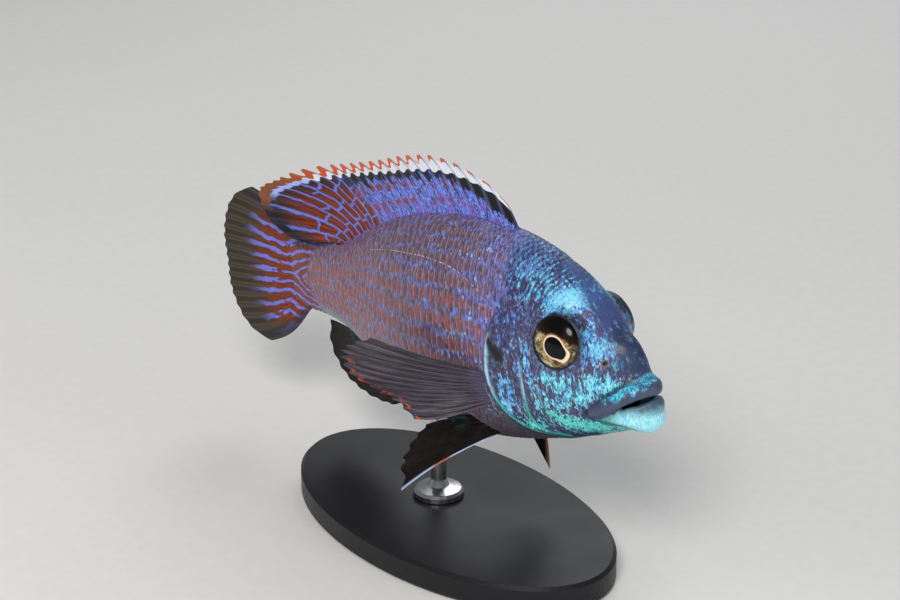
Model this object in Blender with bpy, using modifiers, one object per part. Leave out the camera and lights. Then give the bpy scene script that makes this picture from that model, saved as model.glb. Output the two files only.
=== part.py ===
"""A milomo cichlid (Placidochromis milomo), life size, in a swimming pose on a plain display stand.

The fish is modelled straight, in its own frame: +X towards the snout, +Y to its left, +Z up. Places on it
are (s, y, z) in standard lengths, where s runs back from the snout. At the end every piece is bent along
the swimming curve and pitched onto the stand. Metres, +Z up, origin under the middle of the stand's base.
"""

from math import cos, exp, pi, radians, sin

import bmesh
import bpy
import numpy as np
from mathutils import Matrix, Vector

STANDARD_LENGTH = 0.155
GAP = 0.0003
WELD = 0.00001
COLUMNS = 40

# Body outline: s, back, belly, half width, height of the widest point, all in standard lengths.
BODY_STATIONS = np.array([
    (0.046, -0.072, -0.072, 0.000, -0.072),
    (0.048, -0.046, -0.100, 0.020, -0.072),
    (0.057, -0.014, -0.122, 0.034, -0.066),
    (0.082, 0.036, -0.136, 0.050, -0.056),
    (0.124, 0.093, -0.146, 0.068, -0.040),
    (0.180, 0.145, -0.159, 0.082, -0.026),
    (0.250, 0.184, -0.174, 0.089, -0.016),
    (0.330, 0.209, -0.186, 0.090, -0.010),
    (0.420, 0.217, -0.190, 0.088, -0.004),
    (0.520, 0.208, -0.186, 0.081, 0.000),
    (0.620, 0.186, -0.172, 0.070, 0.003),
    (0.720, 0.154, -0.144, 0.055, 0.004),
    (0.800, 0.119, -0.111, 0.042, 0.004),
    (0.880, 0.087, -0.083, 0.031, 0.003),
    (0.950, 0.074, -0.071, 0.021, 0.002),
    (1.010, 0.071, -0.068, 0.013, 0.002),
])
TORSO_END = 0.895
TAIL_END = 1.010

# Gill margin, where the head ends: degrees round from the back's ridge, and s.
GILL_MARGIN = np.array([
    (0, 0.285), (45, 0.288), (65, 0.301), (82, 0.321), (97, 0.328), (112, 0.322),
    (126, 0.303), (140, 0.272), (154, 0.232), (168, 0.192), (180, 0.172),
])
GILL_STEP = 0.0055
# The cheek's edge, in front of the gill cover, as a share of the way from the snout to the gill margin.
CHEEK_SHARE, CHEEK_STEP = 0.845, 0.0035
HEAD_SHARES = (0.02, 0.07, 0.13, 0.20, 0.28, 0.36, 0.44, 0.52, 0.60, 0.68, 0.75, 0.80, CHEEK_SHARE - 0.01,
               CHEEK_SHARE + 0.01, 0.90, 0.95, 1.0)
HEAD_CORE = (0.270, -0.010)

# Eye: centre, radius of its opening, depth of the ball, and how far it faces forwards and up.
EYE_CENTRE = (0.169, 0.0730, 0.0354)
EYE_RADIUS = 0.0490
EYE_DEPTH = 0.0255
RIM_RADIUS, RIM_THICKNESS, RIM_SEAT = 0.0525, 0.0050, 0.0015
EYE_FORWARD = radians(5)
EYE_UP = radians(10)

# Centre lines from the middle to the corner of the lips' main rolls and of the slopes that lead up to them, and
# of the snout: s, y, z and radius.
UPPER_LIP = ((0.0325, 0.000, -0.0520, 0.0165), (0.0405, 0.014, -0.0530, 0.0162), (0.0540, 0.028, -0.0580, 0.0160),
             (0.0735, 0.041, -0.0690, 0.0156), (0.1005, 0.052, -0.0838, 0.0146), (0.1225, 0.058, -0.0935, 0.0118))
UPPER_SLOPE = ((0.0480, 0.000, -0.0400, 0.0165), (0.0540, 0.014, -0.0415, 0.0160), (0.0650, 0.028, -0.0465, 0.0152),
               (0.0820, 0.040, -0.0575, 0.0142), (0.1045, 0.050, -0.0730, 0.0118), (0.1250, 0.056, -0.0880, 0.0090))
LOWER_LIP = ((0.0440, 0.000, -0.1065, 0.0285), (0.0520, 0.016, -0.1055, 0.0250), (0.0640, 0.029, -0.1040, 0.0190),
             (0.0800, 0.040, -0.1035, 0.0145), (0.1020, 0.049, -0.1060, 0.0100))
LOWER_RIDGE = ((0.0325, 0.000, -0.0850, 0.0180), (0.0395, 0.015, -0.0865, 0.0165), (0.0490, 0.028, -0.0890, 0.0135),
               (0.0680, 0.039, -0.0945, 0.0110), (0.0900, 0.048, -0.1030, 0.0075))
SNOUT_BARS = (((0.0630, 0.000, -0.0140, 0.0215), (0.0690, 0.012, -0.0150, 0.0200), (0.0800, 0.024, -0.0190, 0.0150)),
              ((0.0700, 0.000, 0.0040, 0.0200), (0.0790, 0.014, 0.0030, 0.0190), (0.0930, 0.027, 0.0010, 0.0160)),
              ((0.0760, 0.000, 0.0185, 0.0175), (0.0840, 0.013, 0.0175, 0.0165), (0.0970, 0.025, 0.0160, 0.0135)))
LIP_SIDES = 8

# Mouth slit and jaw joint seen from the side, as (s, z), for the head's edge and for the jaw's.
HEAD_MOUTH_EDGE = ((-0.0296, -0.0658), (0.0224, -0.0668), (0.0404, -0.0728), (0.0554, -0.0793), (0.0724, -0.0863),
                   (0.0904, -0.0948), (0.1084, -0.1023), (0.1254, -0.1098), (0.1474, -0.1703))
JAW_MOUTH_EDGE = ((-0.03, -0.0688), (0.022, -0.0698), (0.037, -0.0800), (0.052, -0.0872), (0.068, -0.0930),
                  (0.088, -0.0990), (0.106, -0.1052), (0.1215, -0.1125), (0.1430, -0.1700))
MOUTH_CAVITY = ((0.072, 0.0, -0.086), (0.040, 0.032, 0.013))
NOSTRIL = (0.0925, 0.0500, -0.0020)
NOSTRIL_RADIUS = 0.0055

# Swimming curve: the body turns away to its left behind the head, then back along the tail.
FIRST_TURN, FIRST_FROM, FIRST_LENGTH = radians(-19.0), 0.25, 0.45
SECOND_TURN, SECOND_FROM, SECOND_LENGTH = radians(15.0), 0.60, 0.65

# Pose on the stand.
NOSE_UP = radians(7.7)
CHORD_TURN = radians(12.0)
SNOUT_AT = (0.0765, 0.0120, 0.0755)

# Stand.
BASE_RADII = (0.062, 0.034)
BASE_THICKNESS = 0.008
BASE_SIDES = 96
ROD_STATION = 0.575
ROD_RADIUS = 0.0023
ROD_FOOT_RADIUS = 0.0075


def smooth(x):
    """Smooth step from 0 to 1."""
    x = np.clip(x, 0.0, 1.0)
    return x * x * (3 - 2 * x)


def spline(table, t):
    """Catmull-Rom curve through the rows of a table; t counts rows."""
    rows = np.asarray(table, float)
    ends = np.vstack([2 * rows[0] - rows[1], rows, 2 * rows[-1] - rows[-2]])
    t = np.clip(np.asarray(t, float), 0, len(rows) - 1)
    i = np.minimum(t.astype(int), len(rows) - 2)
    f = (t - i)[..., None]
    a, b, c, d = ends[i], ends[i + 1], ends[i + 2], ends[i + 3]
    return 0.5 * (2 * b + (c - a) * f + (2 * a - 5 * b + 4 * c - d) * f**2 + (3 * b - a - 3 * c + d) * f**3)


FINE_ROWS = np.linspace(0, len(BODY_STATIONS) - 1, 1500)
FINE_BODY = spline(BODY_STATIONS, FINE_ROWS)


def row_of(s):
    """The row of BODY_STATIONS at a distance s from the snout."""
    return np.interp(s, FINE_BODY[:, 0], FINE_ROWS)


def back_height(s):
    return np.interp(s, FINE_BODY[:, 0], FINE_BODY[:, 1])


def belly_height(s):
    return np.interp(s, FINE_BODY[:, 0], FINE_BODY[:, 2])


def bump(s, z, centre, widths, height):
    """A smooth rise of the skin round a centre in side view."""
    return height * np.exp(-(((s - centre[0]) / widths[0]) ** 2) - ((z - centre[1]) / widths[1]) ** 2)


def relief(s, z):
    """How far the skin stands out from the plain loft: brow, cheek and gill cover."""
    brow = bump(s, z, (EYE_CENTRE[0], EYE_CENTRE[2]), (0.055, 0.055), 0.0060)
    cheek = bump(s, z, (0.175, -0.070), (0.050, 0.040), 0.0035)
    cover = bump(s, z, (0.290, -0.040), (0.035, 0.070), 0.0030)
    return brow + cheek + cover


def section(row, angle, lift=0.0):
    """Point of the straight body, in standard lengths, at an angle round from the back's ridge to the left."""
    s, back, belly, width, middle = np.moveaxis(spline(BODY_STATIONS, row), -1, 0)
    c, side = np.cos(angle), np.sin(angle)
    upper = c > 0
    height = np.where(upper, back - middle, middle - belly)
    keel = np.where(upper, 1.06 - 0.10 * smooth((s - 0.06) / 0.08) + 0.24 * smooth((s - 0.15) / 0.30), 0.92)
    y = width * np.sign(side) * np.abs(side) ** keel
    z = middle + height * c
    rise = relief(s, z) * smooth((width - 0.03) / 0.04) + lift
    reach = np.maximum(np.hypot(y, z - middle), 1e-9)
    return np.stack([s, y + rise * y / reach, z + rise * (z - middle) / reach], -1)


def metres(points):
    """(s, y, z) in standard lengths to the fish's straight frame in metres."""
    points = np.asarray(points, float)
    return points * np.array([-1.0, 1.0, 1.0]) * STANDARD_LENGTH


def gill_row(angle):
    """The body row of the gill margin at an angle round the body."""
    degrees = np.degrees(np.arccos(np.cos(angle)))
    steps = np.interp(degrees, GILL_MARGIN[:, 0], np.arange(len(GILL_MARGIN)))
    return row_of(spline(GILL_MARGIN, steps)[..., 1])


ANGLES = np.arange(COLUMNS) * 2 * pi / COLUMNS


def head_lift(share):
    """How far the cheek's plate and the gill cover's edge stand out, at each column of the ring at a share."""
    degrees = np.degrees(np.arccos(np.cos(ANGLES)))
    low = smooth((degrees - 62) / 16) * (1 - 0.7 * smooth((degrees - 158) / 20))
    plate = CHEEK_STEP * smooth((share - 0.68) / (CHEEK_SHARE - 0.69)) * (share < CHEEK_SHARE)
    edge = GILL_STEP * smooth((share - CHEEK_SHARE) / (1 - CHEEK_SHARE))
    return low * (plate + edge)


def head_rings():
    """Rings from just behind the snout to the gill margin, where the gill cover stands proud of the shoulder."""
    return [section(share * gill_row(ANGLES), ANGLES, head_lift(share)) for share in HEAD_SHARES]


def shoulder_stations():
    """Where the torso starts at each column: a gap behind the face that closes the head."""
    core = np.array([HEAD_CORE[0], 0.0, HEAD_CORE[1]])
    proud = head_lift(1.0)
    edge = section(gill_row(ANGLES), ANGLES, proud)
    spoke = edge - core
    facing = np.cross(np.roll(edge, -1, 0) - np.roll(edge, 1, 0), spoke)
    tilt = np.abs(facing[:, 0]) / np.linalg.norm(facing, axis=1)
    reach = np.hypot(spoke[:, 1], spoke[:, 2])
    return core[0] + spoke[:, 0] * (reach - proud) / reach + GAP / STANDARD_LENGTH / tilt


def torso_rings(lift=0.0, ends=0.0, count=13):
    """Rings from behind the gill margin to the tail stem. lift and ends grow it, for a cutter."""
    first, last = row_of(shoulder_stations() - ends), row_of(TORSO_END + ends)
    return [section(first + (last - first) * share, ANGLES, lift) for share in np.linspace(0, 1, count)]


def tail_rings(lift=0.0, ends=0.0, count=6):
    first = TORSO_END + GAP / STANDARD_LENGTH - ends
    return [section(np.full(COLUMNS, row_of(s)), ANGLES, lift) for s in np.linspace(first, TAIL_END, count)]


def new_object(name, points, faces, collection):
    mesh = bpy.data.meshes.new(name)
    mesh.from_pydata([tuple(p) for p in points], [], faces)
    mesh.update()
    obj = bpy.data.objects.new(name, mesh)
    collection.objects.link(obj)
    return obj


def loft(name, rings, first_cap, last_cap, collection):
    """Closed skin through rings of equal counts, with a fan to a point at each end."""
    points = [first_cap, *np.concatenate(rings), last_cap]
    around = len(rings[0])
    faces = []
    for i in range(around):
        j = (i + 1) % around
        faces.append((0, 1 + j, 1 + i))
        for k in range(len(rings) - 1):
            a, b = 1 + k * around, 1 + (k + 1) * around
            faces.append((a + i, a + j, b + j, b + i))
        end = 1 + (len(rings) - 1) * around
        faces.append((end + i, end + j, len(points) - 1))
    obj = new_object(name, metres(points), faces, collection)
    outward(obj)
    return obj


def outward(obj):
    """Splits the faces into triangles and turns them outwards."""
    work = bmesh.new()
    work.from_mesh(obj.data)
    bmesh.ops.triangulate(work, faces=work.faces)
    bmesh.ops.recalc_face_normals(work, faces=work.faces)
    if work.calc_volume(signed=True) < 0:
        bmesh.ops.reverse_faces(work, faces=work.faces)
    work.to_mesh(obj.data)
    work.free()


def apply_modifiers(obj):
    graph = bpy.context.evaluated_depsgraph_get()
    mesh = bpy.data.meshes.new_from_object(obj.evaluated_get(graph))
    obj.modifiers.clear()
    obj.data = mesh


def keep_largest(obj):
    """Welds slivers and keeps only the closed surface with the most faces, as a cut may leave scraps."""
    work = bmesh.new()
    work.from_mesh(obj.data)
    bmesh.ops.remove_doubles(work, verts=work.verts, dist=WELD)
    bmesh.ops.dissolve_degenerate(work, edges=work.edges, dist=WELD)
    bmesh.ops.triangulate(work, faces=work.faces)
    left = set(work.faces)
    islands = []
    while left:
        stack = [left.pop()]
        island = set(stack)
        while stack:
            for edge in stack.pop().edges:
                for face in edge.link_faces:
                    if face in left:
                        left.discard(face)
                        island.add(face)
                        stack.append(face)
        islands.append(island)
    islands.sort(key=len)
    scraps = {face for island in islands[:-1] for face in island}
    bmesh.ops.delete(work, geom=list(scraps), context="FACES")
    work.to_mesh(obj.data)
    work.free()


def join(obj, pieces):
    """Fuses closed pieces into obj with one Boolean union, and removes them."""
    group = bpy.data.collections.new(obj.name + "_pieces")
    bpy.context.scene.collection.children.link(group)
    for piece in pieces:
        for owner in list(piece.users_collection):
            owner.objects.unlink(piece)
        group.objects.link(piece)
    union = obj.modifiers.new("Join", "BOOLEAN")
    union.operation = "UNION"
    union.operand_type = "COLLECTION"
    union.collection = group
    apply_modifiers(obj)
    for piece in pieces:
        bpy.data.objects.remove(piece)
    bpy.data.collections.remove(group)
    keep_largest(obj)


def combine(obj, operation, cutters):
    """Cuts obj by each cutter, or keeps what they share."""
    for cutter in cutters:
        modifier = obj.modifiers.new("Cut", "BOOLEAN")
        modifier.operation = operation
        modifier.object = cutter
    apply_modifiers(obj)
    keep_largest(obj)


def as_cutter(obj):
    obj.hide_render = True
    obj.display_type = "WIRE"
    return obj


def solid_curve(name, centre_line, sides, collection):
    """A round bar with filled ends along points of s, y, z and radius, as a closed mesh."""
    curve = bpy.data.curves.new(name, "CURVE")
    curve.dimensions = "3D"
    curve.bevel_depth = 1.0
    curve.bevel_resolution = (sides - 4) // 2
    curve.use_fill_caps = True
    line = curve.splines.new("POLY")
    line.points.add(len(centre_line) - 1)
    for point, (s, y, z, radius) in zip(line.points, centre_line):
        point.co = (*metres((s, y, z)), 1.0)
        point.radius = radius * STANDARD_LENGTH
    bar = bpy.data.objects.new(name, curve)
    collection.objects.link(bar)
    bpy.context.view_layer.update()
    graph = bpy.context.evaluated_depsgraph_get()
    mesh = bpy.data.meshes.new_from_object(bar.evaluated_get(graph))
    bpy.data.objects.remove(bar)
    work = bmesh.new()
    work.from_mesh(mesh)
    bmesh.ops.remove_doubles(work, verts=work.verts, dist=WELD)
    work.to_mesh(mesh)
    work.free()
    obj = bpy.data.objects.new(name, mesh)
    collection.objects.link(obj)
    outward(obj)
    return obj


def lip(name, half, collection, count=15):
    """A lip from corner to corner, mirrored from the half that starts at the middle and rounded at its ends."""
    half = np.array(half)
    line = np.vstack([half[:0:-1] * np.array([1, -1, 1, 1]), half])
    line = spline(line, np.linspace(0, len(line) - 1, count))
    first, last = line[0] * 1.25 - line[1] * 0.25, line[-1] * 1.25 - line[-2] * 0.25
    first[3], last[3] = line[0, 3] * 0.45, line[-1, 3] * 0.45
    return solid_curve(name, np.vstack([first, line, last]), LIP_SIDES, collection)


def side_block(name, edge, collection, half_width=0.12, bottom=-0.30):
    """A block across the head below an edge seen from the side."""
    outline = [*edge, (edge[-1][0], bottom), (edge[0][0], bottom)]
    count = len(outline)
    points = [(s, y, z) for y in (-half_width, half_width) for s, z in outline]
    faces = [tuple(range(count)), tuple(range(2 * count - 1, count - 1, -1))]
    faces += [(i, i + count, (i + 1) % count + count, (i + 1) % count) for i in range(count)]
    obj = new_object(name, metres(points), faces, collection)
    outward(obj)
    return as_cutter(obj)


def ball(name, centre, radii, collection, segments=24, rings=14, turn=None):
    """An ellipsoid from a sphere primitive; radii are along s, y and z, then it may be turned."""
    mesh = bpy.data.meshes.new(name)
    work = bmesh.new()
    bmesh.ops.create_uvsphere(work, u_segments=segments, v_segments=rings, radius=1.0)
    shape = Matrix.Diagonal((*[r * STANDARD_LENGTH for r in radii], 1.0))
    place = Matrix.Translation(Vector(metres(centre)))
    work.transform(place @ (turn or Matrix.Identity(4)) @ shape)
    work.to_mesh(mesh)
    work.free()
    obj = bpy.data.objects.new(name, mesh)
    collection.objects.link(obj)
    return obj


def eye_turn(side):
    """Turns local +Z to where the eye on that side faces: outwards, a little forwards and up."""
    outwards = Vector((sin(EYE_FORWARD), side * cos(EYE_FORWARD) * cos(EYE_UP), sin(EYE_UP)))
    return outwards.to_track_quat("Z", "X").to_matrix().to_4x4()


def eye_ball(name, side, collection, grow=0.0, segments=24, rings=12):
    s, y, z = EYE_CENTRE
    radii = (EYE_RADIUS + grow, EYE_RADIUS + grow, EYE_DEPTH + grow)
    return ball(name, (s, side * y, z), radii, collection, segments, rings, eye_turn(side))


def eye_rim(name, side, collection):
    """The fleshy rim of the eye's opening, a ring sunk in the head's skin."""
    s, y, z = EYE_CENTRE
    bpy.ops.mesh.primitive_torus_add(major_segments=24, minor_segments=6, major_radius=RIM_RADIUS * STANDARD_LENGTH,
                                     minor_radius=RIM_THICKNESS * STANDARD_LENGTH)
    obj = bpy.context.object
    obj.name = name
    seat = Matrix.Translation((0, 0, RIM_SEAT * STANDARD_LENGTH))
    obj.data.transform(Matrix.Translation(Vector(metres((s, side * y, z)))) @ eye_turn(side) @ seat)
    for owner in list(obj.users_collection):
        owner.objects.unlink(obj)
    collection.objects.link(obj)
    return obj


def make_head(parts, cutters):
    """Head with upper lip, eye rims and sockets and nostrils; and the lower jaw, parted from it at the mouth."""
    rings = head_rings()
    core = (HEAD_CORE[0], 0.0, HEAD_CORE[1])
    pole = (BODY_STATIONS[0, 0], 0.0, BODY_STATIONS[0, 1])
    head = loft("head", rings, pole, core, parts)
    jaw = loft("lower_jaw", rings, pole, core, parts)
    rolls = [lip("upper_lip", UPPER_LIP, parts), lip("upper_slope", UPPER_SLOPE, parts, 11)]
    rolls += [lip(f"snout{i}", half, parts, 9) for i, half in enumerate(SNOUT_BARS)]
    for roll in rolls + [eye_rim(f"rim{side}", side, parts) for side in (-1, 1)]:
        join(head, [roll])
    for roll in (lip("lower_lip", LOWER_LIP, parts), lip("lower_ridge", LOWER_RIDGE, parts)):
        join(jaw, [roll])
    cavity = as_cutter(ball("mouth_cavity", *MOUTH_CAVITY, cutters))
    cuts = [side_block("mouth_block", HEAD_MOUTH_EDGE, cutters), cavity]
    for side in (-1, 1):
        cuts.append(as_cutter(eye_ball(f"socket{side}", side, cutters, grow=GAP / STANDARD_LENGTH)))
        s, y, z = NOSTRIL
        cuts.append(as_cutter(ball(f"nostril{side}", (s, side * y, z), (NOSTRIL_RADIUS,) * 3, cutters, 10, 6)))
    combine(head, "DIFFERENCE", cuts)
    combine(jaw, "INTERSECT", [side_block("jaw_block", JAW_MOUTH_EDGE, cutters)])
    combine(jaw, "DIFFERENCE", [cavity])
    return head, jaw


def make_trunk(parts):
    core_s, core_z = HEAD_CORE
    torso = loft("torso", torso_rings(), (core_s + 1.5 * GAP / STANDARD_LENGTH, 0.0, core_z), (TORSO_END, 0.0, 0.0), parts)
    tail = loft("tail_stem", tail_rings(), (TORSO_END + GAP / STANDARD_LENGTH, 0.0, 0.0), (TAIL_END, 0.0, 0.0), parts)
    return torso, tail


def trunk_clearance(cutters):
    """The trunk grown by the gap that a fin keeps to it."""
    lift = 1.15 * GAP / STANDARD_LENGTH
    core_s, core_z = HEAD_CORE
    torso = loft("torso_clearance", torso_rings(lift), (core_s, 0.0, core_z), (TORSO_END, 0.0, 0.0), cutters)
    rings = tail_rings(lift, ends=2 * lift)
    end = TAIL_END + lift
    rings.append(rings[-1] * np.array([0, 1, 1]) + np.array([end, 0, 0]))
    tail = loft("tail_clearance", rings, (TORSO_END - lift, 0.0, 0.0), (end, 0.0, 0.0), cutters)
    return [as_cutter(torso), as_cutter(tail)]


def fin(name, point, half_thickness, ray_places, rows, parts, clearance):
    """A fin as one closed sheet with its rays raised on both faces.

    point(u, w) is in standard lengths, u counts rays and w runs from 0 at the skin to 1 at the edge; a
    negative w is the root sunk in the body, which the clearance then cuts away.
    """
    grid = np.array([[point(u, w) for w in rows] for u in ray_places])
    along, across = np.gradient(grid, axis=1), np.gradient(grid, axis=0)
    normal = np.cross(across, along)
    normal /= np.linalg.norm(normal, axis=-1, keepdims=True)
    half = np.array([[half_thickness(u, w) for w in rows] for u in ray_places])[..., None]
    points = np.concatenate([(grid + normal * half).reshape(-1, 3), (grid - normal * half).reshape(-1, 3)])
    columns, count = len(ray_places), len(rows)
    other = columns * count
    faces = []
    for i in range(columns - 1):
        for j in range(count - 1):
            a, b = i * count + j, (i + 1) * count + j
            faces += [(a, b, b + 1), (a, b + 1, a + 1)]
            faces += [(other + a, other + b + 1, other + b), (other + a, other + a + 1, other + b + 1)]
    rim = [i * count for i in range(columns)]
    rim += [(columns - 1) * count + j for j in range(1, count)]
    rim += [i * count + count - 1 for i in range(columns - 2, -1, -1)]
    rim += list(range(count - 2, 0, -1))
    for a, b in zip(rim, rim[1:] + rim[:1]):
        faces += [(a, other + a, other + b), (a, other + b, b)]
    obj = new_object(name, metres(points), faces, parts)
    outward(obj)
    if clearance:
        combine(obj, "DIFFERENCE", clearance)
    return obj


def ray_places(count, between):
    """Places across a fin: each ray, and the membrane between it and the next."""
    return [i + part for i in range(count - 1) for part in (0.0, *between)] + [count - 1]


def ray_relief(ray, web, root, tip=0.0009):
    """Half thickness in standard lengths: rays stand out of the membrane, and all thins from root to tip."""
    def half(u, w):
        crest = cos(pi * (u - round(u))) ** 2
        body = web + (ray - web) * crest
        thin = 1 - 0.45 * max(w, 0.0)
        swell = (root - ray) * exp(-((max(w, 0.0) / 0.10) ** 2))
        return body * thin * (1 if w < 0.999 else tip / (body * thin)) + swell * (w < 0.999)
    return half


SPINES, SOFT_RAYS = 17, 11
DORSAL_RAYS = SPINES + SOFT_RAYS
DORSAL_START, SPINES_END, DORSAL_END = 0.298, 0.740, 0.885
# Tips of the dorsal rays: ray number, s, z. The last ones round the soft lobe and lie along the tail stem.
DORSAL_TIPS = np.array([
    (0, 0.318, 0.243), (1, 0.353, 0.274), (2, 0.393, 0.292), (3, 0.431, 0.303), (5, 0.497, 0.309),
    (8, 0.585, 0.297), (12, 0.694, 0.272), (16, 0.808, 0.249), (18, 0.880, 0.236), (20, 0.960, 0.220),
    (22, 1.040, 0.201), (23.3, 1.078, 0.182), (24.3, 1.074, 0.153), (25.2, 1.053, 0.122), (26.1, 1.010, 0.098),
    (27, 0.961, 0.087),
])


def dorsal_root(u):
    if u <= SPINES - 1:
        return DORSAL_START + (SPINES_END - DORSAL_START) * u / (SPINES - 1)
    return SPINES_END + (DORSAL_END - SPINES_END) * (u - SPINES + 1) / SOFT_RAYS


def dorsal_sway(s):
    """The free lobe of the dorsal fin hangs to the right of the tail fin, clear of it."""
    return -0.050 * smooth((s - 0.86) / 0.24)


def dorsal_point(u, w):
    root_s = dorsal_root(u)
    root = np.array([root_s, back_height(root_s)])
    place = np.interp(u, DORSAL_TIPS[:, 0], np.arange(len(DORSAL_TIPS)))
    tip = spline(DORSAL_TIPS, place)[1:]
    if u < SPINES - 1:
        behind = u - int(u)
        notch = 0.13 * smooth((behind - 0.25) / 0.45) * (1 - smooth((behind - 0.80) / 0.20))
        lappet = 0.05 * (1 - smooth(behind / 0.6))
        tip = root + (tip - root) * (1 + lappet - notch)
    arch = 0.16 * np.linalg.norm(tip - root) * w * (1 - w) * (1 - smooth((u - 23) / 4))
    s, z = root + (tip - root) * w + np.array([-arch * 0.38, arch])
    return np.array([s, dorsal_sway(s), z])


CAUDAL_RAYS = 16


def caudal_point(u, w):
    across = 2 * u / (CAUDAL_RAYS - 1) - 1
    root = np.array([TAIL_END, 0.061 * across])
    end = 1.286 - 0.050 * across**2 - 0.052 * across**8 - 0.010 * exp(-((across / 0.30) ** 2))
    tip = np.array([end, 0.152 * across + 0.022 * across**3])
    flare = 0.018 * across * sin(pi * min(max(w, 0.0), 1.0))
    s, z = root + (tip - root) * w + np.array([0.0, flare])
    return np.array([s, 0.006 * across**2 * smooth(w), z])


ANAL_SPINES, ANAL_RAYS = 3, 11
ANAL_TIPS = np.array([(0, 0.705, -0.186), (1, 0.740, -0.212), (2, 0.780, -0.226), (4, 0.860, -0.226),
                      (6, 0.928, -0.206), (7.5, 0.965, -0.174), (8.8, 0.982, -0.134), (10, 0.972, -0.088)])


def anal_point(u, w):
    root_s = 0.668 + (0.850 - 0.668) * u / (ANAL_RAYS - 1)
    root = np.array([root_s, belly_height(root_s)])
    place = np.interp(u, ANAL_TIPS[:, 0], np.arange(len(ANAL_TIPS)))
    s, z = root + (spline(ANAL_TIPS, place)[1:] - root) * w
    return np.array([s, 0.012 * smooth(w), z])


PECTORAL_RAYS = 13
PECTORAL_ROOT = ((0.341, 98.5), (0.343, 122.0))
# Tips of the right pectoral's rays from its upper edge down: s, y, z. The left one mirrors them.
PECTORAL_TIPS = np.array([(0.510, -0.175, 0.018), (0.578, -0.181, -0.011), (0.602, -0.180, -0.038), (0.582, -0.178, -0.066),
                          (0.524, -0.178, -0.078), (0.470, -0.176, -0.090), (0.430, -0.168, -0.121)])


def pectoral_point(side):
    def point(u, w):
        share = u / (PECTORAL_RAYS - 1)
        (top_s, top_angle), (low_s, low_angle) = PECTORAL_ROOT
        angle = radians(top_angle + (low_angle - top_angle) * share)
        root = section(row_of(top_s + (low_s - top_s) * share), angle) * np.array([1, -1, 1])
        tip = spline(PECTORAL_TIPS, share * (len(PECTORAL_TIPS) - 1))
        bow = np.array([0.0, -0.016, 0.0]) * sin(pi * min(max(w, 0.0), 1.0))
        fan = np.array([0.0, 0.0, (0.5 - share) * 0.012]) * sin(pi * min(max(w, 0.0), 1.0))
        return (root + (tip - root) * w + bow + fan) * np.array([1, -side, 1])
    return point


PELVIC_RAYS = 6
PELVIC_ROOT = ((0.353, 154.5), (0.405, 137.0))
# Tips of the pelvic rays from the long leading ray inwards: s, distance out from the middle, z.
RIGHT_PELVIC_TIPS = np.array([(0.560, 0.110, -0.311), (0.556, 0.108, -0.266), (0.550, 0.104, -0.243),
                              (0.532, 0.099, -0.214), (0.512, 0.093, -0.190), (0.492, 0.087, -0.169)])
LEFT_PELVIC_TIPS = np.array([(0.410, 0.130, -0.308), (0.486, 0.138, -0.232), (0.500, 0.127, -0.216),
                             (0.502, 0.112, -0.200), (0.498, 0.100, -0.186), (0.490, 0.090, -0.170)])


def pelvic_point(side, tips, bow):
    def point(u, w):
        share = u / (PELVIC_RAYS - 1)
        (out_s, out_angle), (in_s, in_angle) = PELVIC_ROOT
        angle = radians(out_angle + (in_angle - out_angle) * share)
        root = section(row_of(out_s + (in_s - out_s) * share), angle)
        tip = spline(tips, u)
        arc = np.array(bow) * sin(pi * min(max(w, 0.0), 1.0)) * (1 - 0.7 * share)
        return (root + (tip - root) * w + arc) * np.array([1, side, 1])
    return point


def make_fins(parts, cutters):
    clearance = trunk_clearance(cutters)
    median = ray_relief(ray=0.0031, web=0.0017, root=0.0060)
    paired = ray_relief(ray=0.0027, web=0.0016, root=0.0060)
    root_rows = (-0.16, 0.03)
    fin("dorsal_fin", dorsal_point, median, ray_places(SPINES, (0.25, 0.72))[:-1]
        + [SPINES - 1 + p for p in ray_places(SOFT_RAYS + 1, (0.5,))],
        (*root_rows, 0.22, 0.45, 0.72, 1.0), parts, clearance)
    fin("anal_fin", anal_point, median, ray_places(ANAL_RAYS, (0.5,)), (*root_rows, 0.25, 0.5, 0.75, 1.0), parts, clearance)
    fin("caudal_fin", caudal_point, median, ray_places(CAUDAL_RAYS, (0.5,)),
        (-0.06, 0.02, 0.16, 0.36, 0.58, 0.80, 1.0), parts, clearance)
    pelvics = {-1: (RIGHT_PELVIC_TIPS, (0.0, 0.010, 0.008)), 1: (LEFT_PELVIC_TIPS, (0.010, 0.024, 0.026))}
    for side, word in ((-1, "right"), (1, "left")):
        fin(f"pectoral_fin_{word}", pectoral_point(side), paired, ray_places(PECTORAL_RAYS, (0.5,)),
            (-0.08, 0.04, 0.20, 0.42, 0.64, 0.84, 1.0), parts, clearance)
        fin(f"pelvic_fin_{word}", pelvic_point(side, *pelvics[side]), paired, ray_places(PELVIC_RAYS, (0.5,)),
            (-0.10, 0.05, 0.25, 0.50, 0.75, 1.0), parts, clearance)


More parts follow.
